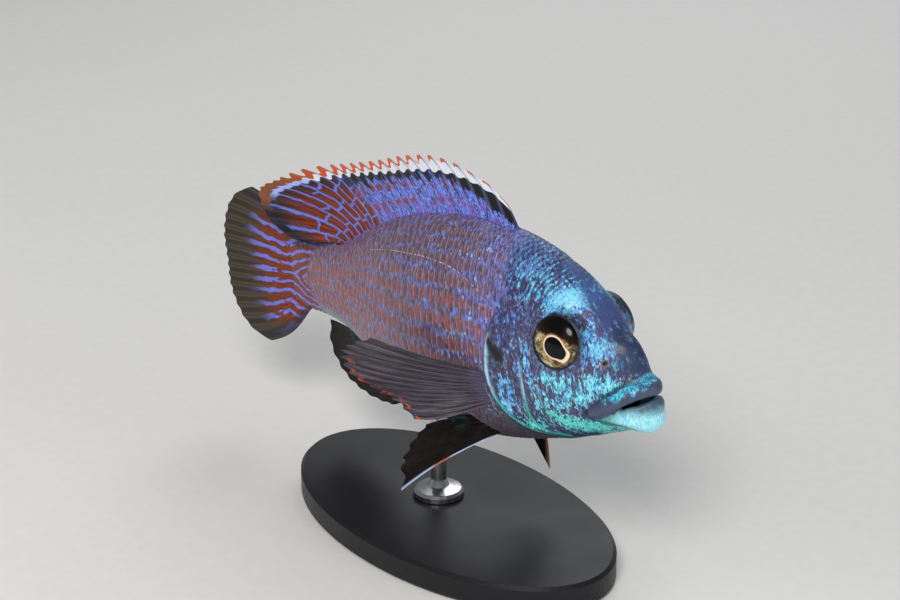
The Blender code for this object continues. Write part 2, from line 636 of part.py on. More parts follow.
def swim(points):
    """Bends straight-frame points, in metres, along the swimming curve and pitches them onto the stand."""
    points = np.asarray(points, float)
    stations = np.linspace(0, 1.5, 751)
    heading = (FIRST_TURN * smooth((stations - FIRST_FROM) / FIRST_LENGTH)
               + SECOND_TURN * smooth((stations - SECOND_FROM) / SECOND_LENGTH))
    step = STANDARD_LENGTH * (stations[1] - stations[0])
    spine_x = np.concatenate([[0], np.cumsum(-np.cos(heading[:-1]) * step)])
    spine_y = np.concatenate([[0], np.cumsum(-np.sin(heading[:-1]) * step)])
    s = -points[:, 0] / STANDARD_LENGTH
    x, y, turn = (np.interp(s, stations, values) for values in (spine_x, spine_y, heading))
    x = np.where(s < 0, points[:, 0], x)
    bent = np.stack([x - points[:, 1] * np.sin(turn), y + points[:, 1] * np.cos(turn), points[:, 2]], -1)
    pose = Matrix.Rotation(CHORD_TURN, 3, "Z") @ Matrix.Rotation(-NOSE_UP, 3, "Y")
    return bent @ np.array(pose).T + np.array(SNOUT_AT)


def set_swimming(obj):
    mesh = obj.data
    flat = np.empty(len(mesh.vertices) * 3)
    mesh.vertices.foreach_get("co", flat)
    mesh.vertices.foreach_set("co", swim(flat.reshape(-1, 3)).ravel())
    mesh.update()


def make_base(parts):
    """The stand's oval base, from a cylinder, with softened edges."""
    bpy.ops.mesh.primitive_cylinder_add(vertices=BASE_SIDES, radius=1.0, depth=BASE_THICKNESS,
                                        location=(0, 0, BASE_THICKNESS / 2))
    base = bpy.context.object
    base.name = "stand_base"
    base.data.transform(Matrix.Diagonal((*BASE_RADII, 1.0, 1.0)))
    for owner in list(base.users_collection):
        owner.objects.unlink(base)
    parts.objects.link(base)
    soften = base.modifiers.new("Bevel", "BEVEL")
    soften.width = 0.0010
    soften.segments = 1
    soften.limit_method = "ANGLE"
    soften.angle_limit = radians(50)
    return base


def make_rod(parts, cutters):
    """The stand's rod, turned with a foot, cut to the belly where it meets it."""
    foot = swim(metres([(ROD_STATION, 0.0, belly_height(ROD_STATION))]))[0]
    low, high = BASE_THICKNESS + GAP, foot[2] + 0.006
    profile = ((0, high), (ROD_RADIUS, high), (ROD_RADIUS, low + 0.0050), (ROD_RADIUS + 0.0008, low + 0.0030),
               (ROD_FOOT_RADIUS - 0.0008, low + 0.0022), (ROD_FOOT_RADIUS, low + 0.0014), (ROD_FOOT_RADIUS, low), (0, low))
    mesh = bpy.data.meshes.new("stand_rod")
    mesh.from_pydata([(r, 0, z) for r, z in profile], [(i, i + 1) for i in range(len(profile) - 1)], [])
    rod = bpy.data.objects.new("stand_rod", mesh)
    parts.objects.link(rod)
    turn = rod.modifiers.new("Screw", "SCREW")
    turn.steps = turn.render_steps = 20
    turn.use_merge_vertices = True
    turn.merge_threshold = 1e-5
    apply_modifiers(rod)
    rod.data.transform(Matrix.Translation((foot[0], foot[1], 0)))
    outward(rod)
    belly = loft("rod_clearance", torso_rings(1.1 * GAP / STANDARD_LENGTH), (HEAD_CORE[0], 0.0, HEAD_CORE[1]),
                 (TORSO_END, 0.0, 0.0), cutters)
    set_swimming(belly)
    combine(rod, "DIFFERENCE", [as_cutter(belly)])
    return rod


def paint(obj, name, colour, roughness, metallic=0.0):
    material = bpy.data.materials.get(name) or bpy.data.materials.new(name)
    material.use_nodes = True
    shader = material.node_tree.nodes["Principled BSDF"]
    shader.inputs["Base Color"].default_value = (*colour, 1.0)
    shader.inputs["Roughness"].default_value = roughness
    shader.inputs["Metallic"].default_value = metallic
    obj.data.materials.clear()
    obj.data.materials.append(material)


LOOKS = {
    "head": ("head_skin", (0.10, 0.25, 0.48), 0.35),
    "lower_jaw": ("lip_skin", (0.20, 0.52, 0.62), 0.35),
    "torso": ("body_scales", (0.30, 0.20, 0.36), 0.40),
    "tail_stem": ("tail_scales", (0.42, 0.20, 0.22), 0.40),
    "dorsal_fin": ("dorsal_membrane", (0.24, 0.20, 0.52), 0.45),
    "caudal_fin": ("caudal_membrane", (0.36, 0.16, 0.20), 0.45),
    "anal_fin": ("dark_membrane", (0.06, 0.04, 0.05), 0.50),
    "pelvic_fin_right": ("dark_membrane", (0.06, 0.04, 0.05), 0.50),
    "pelvic_fin_left": ("dark_membrane", (0.06, 0.04, 0.05), 0.50),
    "pectoral_fin_right": ("pectoral_membrane", (0.17, 0.13, 0.16), 0.50),
    "pectoral_fin_left": ("pectoral_membrane", (0.17, 0.13, 0.16), 0.50),
    "eye_right": ("eye", (0.30, 0.22, 0.10), 0.10),
    "eye_left": ("eye", (0.30, 0.22, 0.10), 0.10),
}


def main():
    for obj in list(bpy.data.objects):
        bpy.data.objects.remove(obj)
    parts = bpy.data.collections.new("milomo_cichlid")
    cutters = bpy.data.collections.new("cutters")
    for group in (parts, cutters):
        bpy.context.scene.collection.children.link(group)
    make_trunk(parts)
    make_head(parts, cutters)
    for side, word in ((-1, "right"), (1, "left")):
        eye_ball(f"eye_{word}", side, parts)
    make_fins(parts, cutters)
    for obj in parts.objects:
        set_swimming(obj)
    for name, (material, colour, roughness) in LOOKS.items():
        obj = parts.objects[name]
        paint(obj, material, colour, roughness)
        obj.data.shade_smooth()
        obj.data.set_sharp_from_angle(angle=radians(35))
    paint(make_base(parts), "stand_lacquer", (0.02, 0.02, 0.022), 0.30)
    paint(make_rod(parts, cutters), "stand_steel", (0.62, 0.62, 0.64), 0.30, 1.0)


main()
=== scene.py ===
"""A milomo cichlid on its stand, dressed for the render: skin, scales, fin rays, eyes, floor, lights, camera.

Everything is shaped on the straight fish first, in (s, y, z) standard lengths where s runs back from the
snout and +y is its left, and is then bent along the swimming curve. Angles go round from the back's ridge.
"""

from math import cos, pi, radians, sin

import bmesh
import bpy
import numpy as np
from mathutils import Matrix, Vector


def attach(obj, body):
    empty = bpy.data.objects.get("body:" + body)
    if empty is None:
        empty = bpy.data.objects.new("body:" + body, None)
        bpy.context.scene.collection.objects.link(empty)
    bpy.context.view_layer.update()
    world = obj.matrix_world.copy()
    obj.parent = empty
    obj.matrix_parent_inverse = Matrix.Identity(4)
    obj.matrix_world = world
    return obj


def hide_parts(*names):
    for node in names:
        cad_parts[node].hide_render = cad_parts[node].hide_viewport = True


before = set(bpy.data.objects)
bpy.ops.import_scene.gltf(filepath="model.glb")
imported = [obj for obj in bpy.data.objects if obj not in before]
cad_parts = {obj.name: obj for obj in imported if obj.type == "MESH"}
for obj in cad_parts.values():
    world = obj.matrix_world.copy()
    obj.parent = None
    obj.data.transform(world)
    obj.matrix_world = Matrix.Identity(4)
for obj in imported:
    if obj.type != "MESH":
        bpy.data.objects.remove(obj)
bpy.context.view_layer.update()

STANDARD_LENGTH = 0.155
BODY_STATIONS = np.array([(0.046, -0.072, -0.072, 0.0, -0.072), (0.048, -0.046, -0.1, 0.02, -0.072),
        (0.057, -0.014, -0.122, 0.034, -0.066), (0.082, 0.036, -0.136, 0.05, -0.056),
        (0.124, 0.093, -0.146, 0.068, -0.04), (0.18, 0.145, -0.159, 0.082, -0.026),
        (0.25, 0.184, -0.174, 0.089, -0.016), (0.33, 0.209, -0.186, 0.09, -0.01),
        (0.42, 0.217, -0.19, 0.088, -0.004), (0.52, 0.208, -0.186, 0.081, 0.0), (0.62, 0.186, -0.172, 0.07, 0.003),
        (0.72, 0.154, -0.144, 0.055, 0.004), (0.8, 0.119, -0.111, 0.042, 0.004),
        (0.88, 0.087, -0.083, 0.031, 0.003), (0.95, 0.074, -0.071, 0.021, 0.002),
        (1.01, 0.071, -0.068, 0.013, 0.002)])
TAIL_END = 1.01
GILL_MARGIN = np.array([(0, 0.285), (45, 0.288), (65, 0.301), (82, 0.321), (97, 0.328), (112, 0.322), (126, 0.303),
        (140, 0.272), (154, 0.232), (168, 0.192), (180, 0.172)])
GILL_STEP, CHEEK_SHARE, CHEEK_STEP = 0.0055, 0.845, 0.0035
EYE_CENTRE, EYE_RADIUS, EYE_DEPTH = (0.169, 0.073, 0.0354), 0.049, 0.0255
# How much of each eyeball shows, and how far the skin round it rises to meet it.
EYE_OPENING, EYE_SLOPE = 0.0464, 0.012
EYE_FORWARD, EYE_UP = radians(5), radians(10)
# Each lip is two bars side by side: s, y, z and radius from the midline back to the mouth's corner.
UPPER_LIP = ((0.0312, 0.0, -0.0535, 0.0154), (0.0392, 0.014, -0.0545, 0.0152), (0.054, 0.028, -0.058, 0.016),
        (0.0725, 0.041, -0.069, 0.0156), (0.1, 0.052, -0.0838, 0.0146), (0.1225, 0.058, -0.0935, 0.0118))
UPPER_SLOPE = ((0.051, 0.0, -0.0415, 0.0165), (0.057, 0.014, -0.043, 0.016), (0.0675, 0.028, -0.0475, 0.0152),
        (0.082, 0.04, -0.0575, 0.0142), (0.1045, 0.05, -0.073, 0.0118), (0.125, 0.056, -0.088, 0.009))
LOWER_LIP = ((0.044, 0.0, -0.1065, 0.0285), (0.052, 0.016, -0.1055, 0.025), (0.064, 0.029, -0.104, 0.019),
        (0.08, 0.04, -0.1035, 0.0145), (0.102, 0.049, -0.106, 0.01))
LOWER_RIDGE = ((0.0325, 0.0, -0.085, 0.018), (0.0395, 0.015, -0.0865, 0.0165), (0.049, 0.028, -0.089, 0.0135),
        (0.068, 0.039, -0.0945, 0.011), (0.09, 0.048, -0.103, 0.0075))
# The open mouth from the side, (s, z) along the upper lip's edge and back along the lower lip's.
MOUTH_TOP = ((-0.03, -0.0645), (0.015, -0.0645), (0.026, -0.063), (0.043, -0.068), (0.06, -0.075),
        (0.078, -0.0845), (0.095, -0.0945), (0.108, -0.1015))
MOUTH_LOW = ((0.108, -0.1035), (0.094, -0.0975), (0.077, -0.0885), (0.06, -0.0815), (0.043, -0.078),
        (0.026, -0.071), (0.015, -0.0675), (-0.03, -0.0675))
# The snout's middle over the upper lip, so that the profile runs on into the lip.
SNOUT_BARS = (((0.0575, 0.0, -0.028, 0.0188), (0.064, 0.013, -0.03, 0.0175), (0.076, 0.026, -0.035, 0.014)),
        ((0.063, 0.0, -0.014, 0.0215), (0.069, 0.012, -0.015, 0.02), (0.08, 0.024, -0.019, 0.0145)),
        ((0.07, 0.0, 0.004, 0.02), (0.079, 0.014, 0.003, 0.0185), (0.093, 0.027, 0.001, 0.014)),
        ((0.076, 0.0, 0.0185, 0.0175), (0.084, 0.013, 0.0175, 0.016), (0.097, 0.024, 0.016, 0.0105)))
LIP_CREASE = (0.028, -0.025), (0.045, -0.03), (0.062, -0.0395), (0.08, -0.052), (0.104, -0.068), (0.13, -0.082)
MOUTH_CAVITY = (0.072, 0.0, -0.086), (0.04, 0.032, 0.013)
NOSTRIL, NOSTRIL_RADIUS = (0.0925, 0.05, -0.002), 0.005
FIRST_TURN, FIRST_FROM, FIRST_LENGTH = radians(-19.0), 0.25, 0.45
SECOND_TURN, SECOND_FROM, SECOND_LENGTH = radians(15.0), 0.6, 0.65
NOSE_UP, CHORD_TURN, SNOUT_AT = radians(7.7), radians(12.0), (0.0765, 0.012, 0.0755)

# The skin: metres between its vertices, columns of its rings, and how deep the trunk lies under its scales.
VOXEL = 0.00036
SKIN_COLUMNS = 144
COAT = 0.0032
# The tail fin's root: how long it is, and how much thinner and lower than the body's end.
TAIL_ROOT, TAIL_THINNER, TAIL_LOWER = 0.055, 0.8, 0.1

# Scales: rows round each side in degrees, and how far apart the scales of one row are along it.
ROW_FIRST, ROW_PITCH, ROW_COUNT = 5.2, 10.4, 17
# Behind this station every second row ends, and the rows left are twice as wide.
ROWS_MERGE = 0.785
COLUMN_PITCH = np.array([(0.1, 0.014), (0.3, 0.014), (0.36, 0.0145), (0.45, 0.0157), (0.52, 0.018), (0.57, 0.0205),
        (0.62, 0.0235), (0.7, 0.0235), (0.8, 0.0205), (0.88, 0.018), (1.0, 0.015), (1.1, 0.014)])
SCALE_TOP, SCALE_SLOPE, SCALE_THICKNESS = 0.0014, 0.115, 0.0009
SMALL_ROW, SMALL_PITCH = 5.2, 0.0105
LATERAL_LINE = np.array([(0.306, 65.5), (0.341, 58.5), (0.382, 52.8), (0.421, 49.8), (0.449, 48.8), (0.489, 47.5),
        (0.547, 47.2), (0.595, 46.5), (0.71, 46.2)])
# The lateral line's tubes: how far apart, half length and radius of each, and the points of its mesh.
TUBE_PITCH, TUBE_HALF, TUBE_RADIUS = 0.0125, 0.0052, 0.00085
TUBE_RINGS, TUBE_SIDES = 7, 6
CHEEK_EDGE = ((0.212, 0.05), (0.238, 0.026), (0.248, 0.0), (0.2495, -0.04), (0.2515, -0.085), (0.252, -0.107),
        (0.248, -0.127), (0.238, -0.139), (0.22, -0.1475), (0.192, -0.152))


def stack(*values):
    return np.stack(values, -1)


def bell(distance, width):
    return np.exp(-((distance / width) ** 2))


def smooth(x):
    x = np.clip(x, 0.0, 1.0)
    return x * x * (3 - 2 * x)


def spline(table, t):
    """Catmull-Rom curve through the rows of a table; t counts rows."""
    rows = np.asarray(table, float)
    ends = np.vstack([2 * rows[0] - rows[1], rows, 2 * rows[-1] - rows[-2]])
    t = np.clip(np.asarray(t, float), 0, len(rows) - 1)
    i = np.minimum(t.astype(int), len(rows) - 2)
    f = (t - i)[..., None]
    a, b, c, d = ends[i], ends[i + 1], ends[i + 2], ends[i + 3]
    return 0.5 * (2 * b + (c - a) * f + (2 * a - 5 * b + 4 * c - d) * f ** 2 + (3 * b - a - 3 * c + d) * f ** 3)


FINE_ROWS = np.linspace(0, len(BODY_STATIONS) - 1, 1500)
FINE_BODY = spline(BODY_STATIONS, FINE_ROWS)


def row_of(s):
    return np.interp(s, FINE_BODY[:, 0], FINE_ROWS)


def back_height(s):
    return np.interp(s, FINE_BODY[:, 0], FINE_BODY[:, 1])


def belly_height(s):
    return np.interp(s, FINE_BODY[:, 0], FINE_BODY[:, 2])


def rise(s, z, centre, widths, height=1.0):
    """A smooth rise round a centre in side view, with its half widths along s and z."""
    return height * np.exp(-((s - centre[0]) / widths[0]) ** 2 - ((z - centre[1]) / widths[1]) ** 2)


def relief(s, z):
    return (rise(s, z, (EYE_CENTRE[0], EYE_CENTRE[2]), (0.055, 0.055), 0.006)
            + rise(s, z, (0.175, -0.07), (0.05, 0.04), 0.0035) + rise(s, z, (0.29, -0.04), (0.035, 0.07), 0.003))


def section(row, angle, lift=0.0):
    """Point of the straight body at an angle round from the back's ridge to the left, lifted off the skin."""
    s, back, belly, width, middle = np.moveaxis(spline(BODY_STATIONS, row), -1, 0)
    c, side = np.cos(angle), np.sin(angle)
    upper = c > 0
    height = np.where(upper, back - middle, middle - belly)
    keel = np.where(upper, 1.06 - 0.1 * smooth((s - 0.06) / 0.08) + 0.24 * smooth((s - 0.15) / 0.3), 0.92)
    y = width * np.sign(side) * np.abs(side) ** keel
    z = middle + height * c
    up = relief(s, z) * smooth((width - 0.03) / 0.04) + lift
    reach = np.maximum(np.hypot(y, z - middle), 1e-09)
    return stack(s, y + up * y / reach, z + up * (z - middle) / reach)


def on_body(s, degrees, lift=0.0):
    return section(row_of(s), np.radians(degrees), lift)


def fold(degrees):
    """An angle round the body as degrees down from the back's ridge, the same on both sides."""
    return np.degrees(np.arccos(np.clip(np.cos(np.radians(degrees)), -1, 1)))


def margin_s(degrees):
    steps = np.interp(fold(degrees), GILL_MARGIN[:, 0], np.arange(len(GILL_MARGIN)))
    return spline(GILL_MARGIN, steps)[..., 1]


def metres(points):
    return np.asarray(points, float) * np.array([-1.0, 1.0, 1.0]) * STANDARD_LENGTH


def swim(points):
    """Bends straight-frame points, in metres, along the swimming curve and pitches them onto the stand."""
    points = np.asarray(points, float)
    stations = np.linspace(0, 1.5, 751)
    heading = (FIRST_TURN * smooth((stations - FIRST_FROM) / FIRST_LENGTH) + SECOND_TURN
            * smooth((stations - SECOND_FROM) / SECOND_LENGTH))
    step = STANDARD_LENGTH * (stations[1] - stations[0])
    spine_x = np.concatenate([[0], np.cumsum(-np.cos(heading[:-1]) * step)])
    spine_y = np.concatenate([[0], np.cumsum(-np.sin(heading[:-1]) * step)])
    s = -points[:, 0] / STANDARD_LENGTH
    x, y, turn = (np.interp(s, stations, values) for values in (spine_x, spine_y, heading))
    x = np.where(s < 0, points[:, 0], x)
    bent = stack(x - points[:, 1] * np.sin(turn), y + points[:, 1] * np.cos(turn), points[:, 2])
    pose = Matrix.Rotation(CHORD_TURN, 3, "Z") @ Matrix.Rotation(-NOSE_UP, 3, "Y")
    return bent @ np.array(pose).T + np.array(SNOUT_AT)


# ---- mesh helpers ----

def add_object(name, mesh):
    obj = bpy.data.objects.new(name, mesh)
    bpy.context.scene.collection.objects.link(obj)
    return obj


def mesh_object(name, points, faces):
    """A mesh object from points in metres."""
    mesh = bpy.data.meshes.new(name)
    mesh.from_pydata(np.asarray(points).tolist(), [], faces)
    mesh.update()
    return add_object(name, mesh)


def coordinates(mesh):
    flat = np.empty(len(mesh.vertices) * 3)
    mesh.vertices.foreach_get("co", flat)
    return flat.reshape(-1, 3)


def set_coordinates(mesh, points):
    mesh.vertices.foreach_set("co", np.ascontiguousarray(points, dtype=float).ravel())
    mesh.update()


def note(obj, name, values):
    """Keeps three numbers a vertex for the material to read."""
    layer = obj.data.attributes.new(name, "FLOAT_VECTOR", "POINT")
    layer.data.foreach_set("vector", np.ascontiguousarray(values, dtype=np.float32).ravel())


def outward(obj, solid=False):
    """Turns all faces outward; a solid for a boolean is split into triangles first."""
    work = bmesh.new()
    work.from_mesh(obj.data)
    if solid:
        bmesh.ops.triangulate(work, faces=work.faces)
    bmesh.ops.recalc_face_normals(work, faces=work.faces)
    if solid and work.calc_volume(signed=True) < 0:
        bmesh.ops.reverse_faces(work, faces=work.faces)
    work.to_mesh(obj.data)
    work.free()
    return obj


def apply_modifiers(obj):
    graph = bpy.context.evaluated_depsgraph_get()
    mesh = bpy.data.meshes.new_from_object(obj.evaluated_get(graph))
    obj.modifiers.clear()
    obj.data = mesh


def boolean(obj, operation, others):
    """Joins or cuts obj by closed meshes, and removes them."""
    for other in others:
        modifier = obj.modifiers.new("Boolean", "BOOLEAN")
        modifier.operation, modifier.solver, modifier.object = operation, "MANIFOLD", other
    apply_modifiers(obj)
    for other in others:
        bpy.data.objects.remove(other)


def grid_faces(rows, columns, wrap=False, start=0):
    """Quads over a grid of points kept row by row."""
    i, j = np.meshgrid(np.arange(rows - 1), np.arange(columns if wrap else columns - 1), indexing="ij")
    k = (j + 1) % columns
    quads = stack(i * columns + j, i * columns + k, (i + 1) * columns + k, (i + 1) * columns + j)
    return quads.reshape(-1, 4) + start


def tube(name, centre_line, sides=24):
    """A round bar along points of s, y, z and radius, closed by round ends."""
    line = np.asarray(centre_line, float)
    middle = metres(line[:, :3])
    radius = line[:, 3] * STANDARD_LENGTH
    along = np.gradient(middle, axis=0)
    along /= np.linalg.norm(along, axis=1, keepdims=True)
    side = np.cross(along, (0.0, 0.0, 1.0))
    side /= np.linalg.norm(side, axis=1, keepdims=True)
    up = np.cross(side, along)
    rings, turns = [], np.arange(sides) * 2 * pi / sides
    spokes = side[:, None] * np.cos(turns)[None, :, None] + up[:, None] * np.sin(turns)[None, :, None]
    for lean in (0.35, 0.7, 0.93):
        rings.append(middle[0] - along[0] * radius[0] * 0.8 * sin(pi / 2 * (1 - lean)) + spokes[0] * radius[0]
                * lean)
    rings += [middle[i] + spokes[i] * radius[i] for i in range(len(line))]
    for lean in (0.93, 0.7, 0.35):
        rings.append(middle[-1] + along[-1] * radius[-1] * 0.8 * sin(pi / 2 * (1 - lean)) + spokes[-1] * radius[-1]
                * lean)
    points = np.vstack([np.concatenate(rings), rings[0].mean(0)[None], rings[-1].mean(0)[None]])
    faces = grid_faces(len(rings), sides, wrap=True).tolist()
    last, first_cap, last_cap = (len(rings) - 1) * sides, len(points) - 2, len(points) - 1
    for i in range(sides):
        faces += [(first_cap, (i + 1) % sides, i), (last_cap, last + i, last + (i + 1) % sides)]
    return outward(mesh_object(name, points, faces), True)


def whole_lip(half, count=45):
    half = np.array(half)
    line = np.vstack([half[:0:-1] * np.array([1, -1, 1, 1]), half])
    return spline(line, np.linspace(0, len(line) - 1, count))


def ball(name, centre, radii, turn=None, segments=48, rings=28):
    mesh = bpy.data.meshes.new(name)
    work = bmesh.new()
    bmesh.ops.create_uvsphere(work, u_segments=segments, v_segments=rings, radius=1.0)
    shape = Matrix.Diagonal((*[r * STANDARD_LENGTH for r in radii], 1.0))
    work.transform(Matrix.Translation(Vector(metres(centre))) @ (turn or Matrix.Identity(4)) @ shape)
    work.to_mesh(mesh)
    work.free()
    return add_object(name, mesh)


def eye_turn(side):
    outwards = Vector((sin(EYE_FORWARD), side * cos(EYE_FORWARD) * cos(EYE_UP), sin(EYE_UP)))
    return outwards.to_track_quat("Z", "X").to_matrix().to_4x4()


# ---- skin ----

def gill_weight(degrees):
    return smooth((degrees - 62) / 16) * (1 - 0.7 * smooth((degrees - 158) / 20))


def skin_rings():
    """Rings of the whole body: head with its cheek plate and gill cover, trunk sunk under its scales, tail root."""
    angles = np.arange(SKIN_COLUMNS) * 2 * pi / SKIN_COLUMNS
    degrees = fold(np.degrees(angles))
    edge_row = row_of(margin_s(degrees))
    low = gill_weight(degrees)
    nape = 1 - smooth((degrees - 50) / 18)
    rings = []
    for share in np.linspace(0.012, 1.0, 84):
        plate = (CHEEK_STEP * smooth((share - 0.68) / (CHEEK_SHARE - 0.69))
                * (1 - smooth((share - CHEEK_SHARE) / 0.012)))
        edge = GILL_STEP * smooth((share - CHEEK_SHARE) / (1 - CHEEK_SHARE))
        rings.append(section(share * edge_row, angles, low * (plate + edge) - COAT * nape
                * smooth((share - 0.72) / 0.2)))
    end = row_of(TAIL_END)
    for share in np.concatenate([[0.0, 0.0015, 0.004, 0.008], np.linspace(0.013, 1.0, 120)]):
        row = edge_row + (end - edge_row) * share
        behind = spline(BODY_STATIONS, row)[..., 0] - margin_s(degrees)
        groove = 0.0035 * low * bell(behind, 0.007)
        rings.append(section(row, angles, -COAT - groove))
    for share in np.linspace(0.1, 1.0, 10):
        root = section(np.full(SKIN_COLUMNS, end), angles, -COAT)
        rings.append(root * np.array([1, 1 - TAIL_THINNER * share ** 0.8, 1 - TAIL_LOWER * share])
                + np.array([TAIL_ROOT * share, 0, 0]))
    return rings


def make_skin():
    rings = skin_rings()
    count = len(rings) * SKIN_COLUMNS
    points = np.vstack([np.concatenate(rings), [(BODY_STATIONS[0, 0], 0.0, BODY_STATIONS[0, 1])],
            [rings[-1].mean(0) + np.array([0.001, 0, 0])]])
    faces = grid_faces(len(rings), SKIN_COLUMNS, wrap=True).tolist()
    last = count - SKIN_COLUMNS
    for i in range(SKIN_COLUMNS):
        j = (i + 1) % SKIN_COLUMNS
        faces += [(count, i, j), (count + 1, last + j, last + i)]
    skin = outward(mesh_object("skin", metres(points), faces), True)
    bars = UPPER_LIP, UPPER_SLOPE, LOWER_LIP, LOWER_RIDGE, *SNOUT_BARS
    boolean(skin, "UNION", [tube(f"bar{i}", whole_lip(half)) for i, half in enumerate(bars)])
    outline = [*MOUTH_TOP, *MOUTH_LOW]
    slit = [(s, y, z) for y in (-0.12, 0.12) for s, z in outline]
    n = len(outline)
    sides = ([tuple(range(n)), tuple(range(2 * n - 1, n - 1, -1))]
            + [(i, i + n, (i + 1) % n + n, (i + 1) % n) for i in range(n)])
    cuts = [outward(mesh_object("slit", metres(slit), sides), True), ball("cavity", *MOUTH_CAVITY)]
    for side in (-1, 1):
        s, y, z = EYE_CENTRE
        cuts.append(ball(f"socket{side}", (s, side * y, z), (EYE_OPENING - 0.0015, EYE_OPENING - 0.0015, EYE_DEPTH
                + 0.001), eye_turn(side)))
        s, y, z = NOSTRIL
        cuts.append(ball(f"nostril{side}", (s, side * y, z), (NOSTRIL_RADIUS,) * 3, None, 20, 12))
    boolean(skin, "DIFFERENCE", cuts)
    remesh = skin.modifiers.new("Remesh", "REMESH")
    remesh.mode, remesh.voxel_size = "VOXEL", VOXEL
    even = skin.modifiers.new("Smooth", "SMOOTH")
    even.factor, even.iterations = 0.5, 5
    apply_modifiers(skin)
    soften(skin)
    seat_eyes(skin)
    return skin


def soften(skin):
    """Lets the snout run on into the upper lip without a step, and the chin into the lower lip."""
    s, y, z = straight_places(skin.data)[0].T
    front = smooth((0.14 - s) / 0.02) * smooth((0.09 - np.abs(y)) / 0.02)
    snout = front * smooth((z + 0.048) / 0.014) * smooth((0.072 - z) / 0.03)
    chin = front * smooth((-0.08 - z) / 0.008)
    for name, weight, rounds in (("snout", snout, 150), ("chin", chin, 30)):
        group = skin.vertex_groups.new(name=name)
        level = np.round(weight * 10).astype(int)
        for step in range(1, 11):
            group.add(np.nonzero(level == step)[0].tolist(), step / 10, "REPLACE")
        blend = skin.modifiers.new(name, "SMOOTH")
        blend.vertex_group, blend.factor, blend.iterations = name, 0.5, rounds
    apply_modifiers(skin)
    skin.vertex_groups.clear()


def seat_eyes(skin):
    """Brings the skin round each eyeball up against it."""
    points = coordinates(skin.data)
    edge = EYE_DEPTH * (1 - (EYE_OPENING / EYE_RADIUS) ** 2) ** 0.5 + 0.0003
    s, y, z = EYE_CENTRE
    for side in (-1, 1):
        turn, centre = np.array(eye_turn(side).to_3x3()), metres((s, side * y, z))
        local = (points - centre) @ turn / STANDARD_LENGTH
        reach = np.hypot(local[:, 0], local[:, 1])
        pull = (1 - smooth((reach - EYE_OPENING) / EYE_SLOPE)) * (local[:, 2] > -0.02)
        local[:, 2] += pull * (edge + 0.0004 * bell(reach - 0.0495, 0.0018) - local[:, 2])
        points = np.where((pull > 0)[:, None], local @ turn.T * STANDARD_LENGTH + centre, points)
    set_coordinates(skin.data, points)


def straight_places(mesh):
    """Each vertex as s, y, z in standard lengths, and its degrees down from the back's ridge."""
    place = coordinates(mesh) / STANDARD_LENGTH * np.array([-1.0, 1.0, 1.0])
    s, _, z = place.T
    station = spline(BODY_STATIONS, row_of(s))
    middle = station[:, 4]
    height = np.where(z > middle, station[:, 1] - middle, middle - station[:, 2])
    return place, np.degrees(np.arccos(np.clip((z - middle) / np.maximum(height, 1e-06), -1, 1)))


def line_distance(s, z, points):
    """Distance in side view to a run of lines, and how far along it the nearest place is, from 0 to 1."""
    best, along = np.full(s.shape, 9.0), np.zeros(s.shape)
    for i, ((s0, z0), (s1, z1)) in enumerate(zip(points[:-1], points[1:])):
        t = np.clip(((s - s0) * (s1 - s0) + (z - z0) * (z1 - z0)) / ((s1 - s0) ** 2 + (z1 - z0) ** 2), 0, 1)
        d = np.hypot(s - s0 - t * (s1 - s0), z - z0 - t * (z1 - z0))
        along = np.where(d < best, (i + t) / (len(points) - 1), along)
        best = np.minimum(d, best)
    return best, along


def lip_place(place, main, second, rise_by, half_height):
    """How near each vertex is to a lip's two bars, in radii, and how high on the lip it is, from -1 to 1."""
    s, y, z = place[:, 0], np.abs(place[:, 1]), place[:, 2]
    near, best, high = np.full(len(place), 99.0), np.full(len(place), 99.0), np.zeros(len(place))
    for half in (main, second):
        for line_s, line_y, line_z, radius in whole_lip(half, 91)[45:]:
            near = np.minimum(near, np.sqrt((s - line_s) ** 2 + (y - line_y) ** 2 + (z - line_z) ** 2) / radius)
            if half is main:
                plan = np.hypot(s - line_s, y - line_y)
                high = np.where(plan < best, (z - line_z - rise_by) / half_height, high)
                best = np.minimum(plan, best)
    return near, high


def groove(s, z, points, width, depth):
    distance, along = line_distance(s, z, points)
    return -depth * bell(distance, width) * np.sin(pi * np.clip(along * 0.96 + 0.02, 0, 1)) ** 0.5


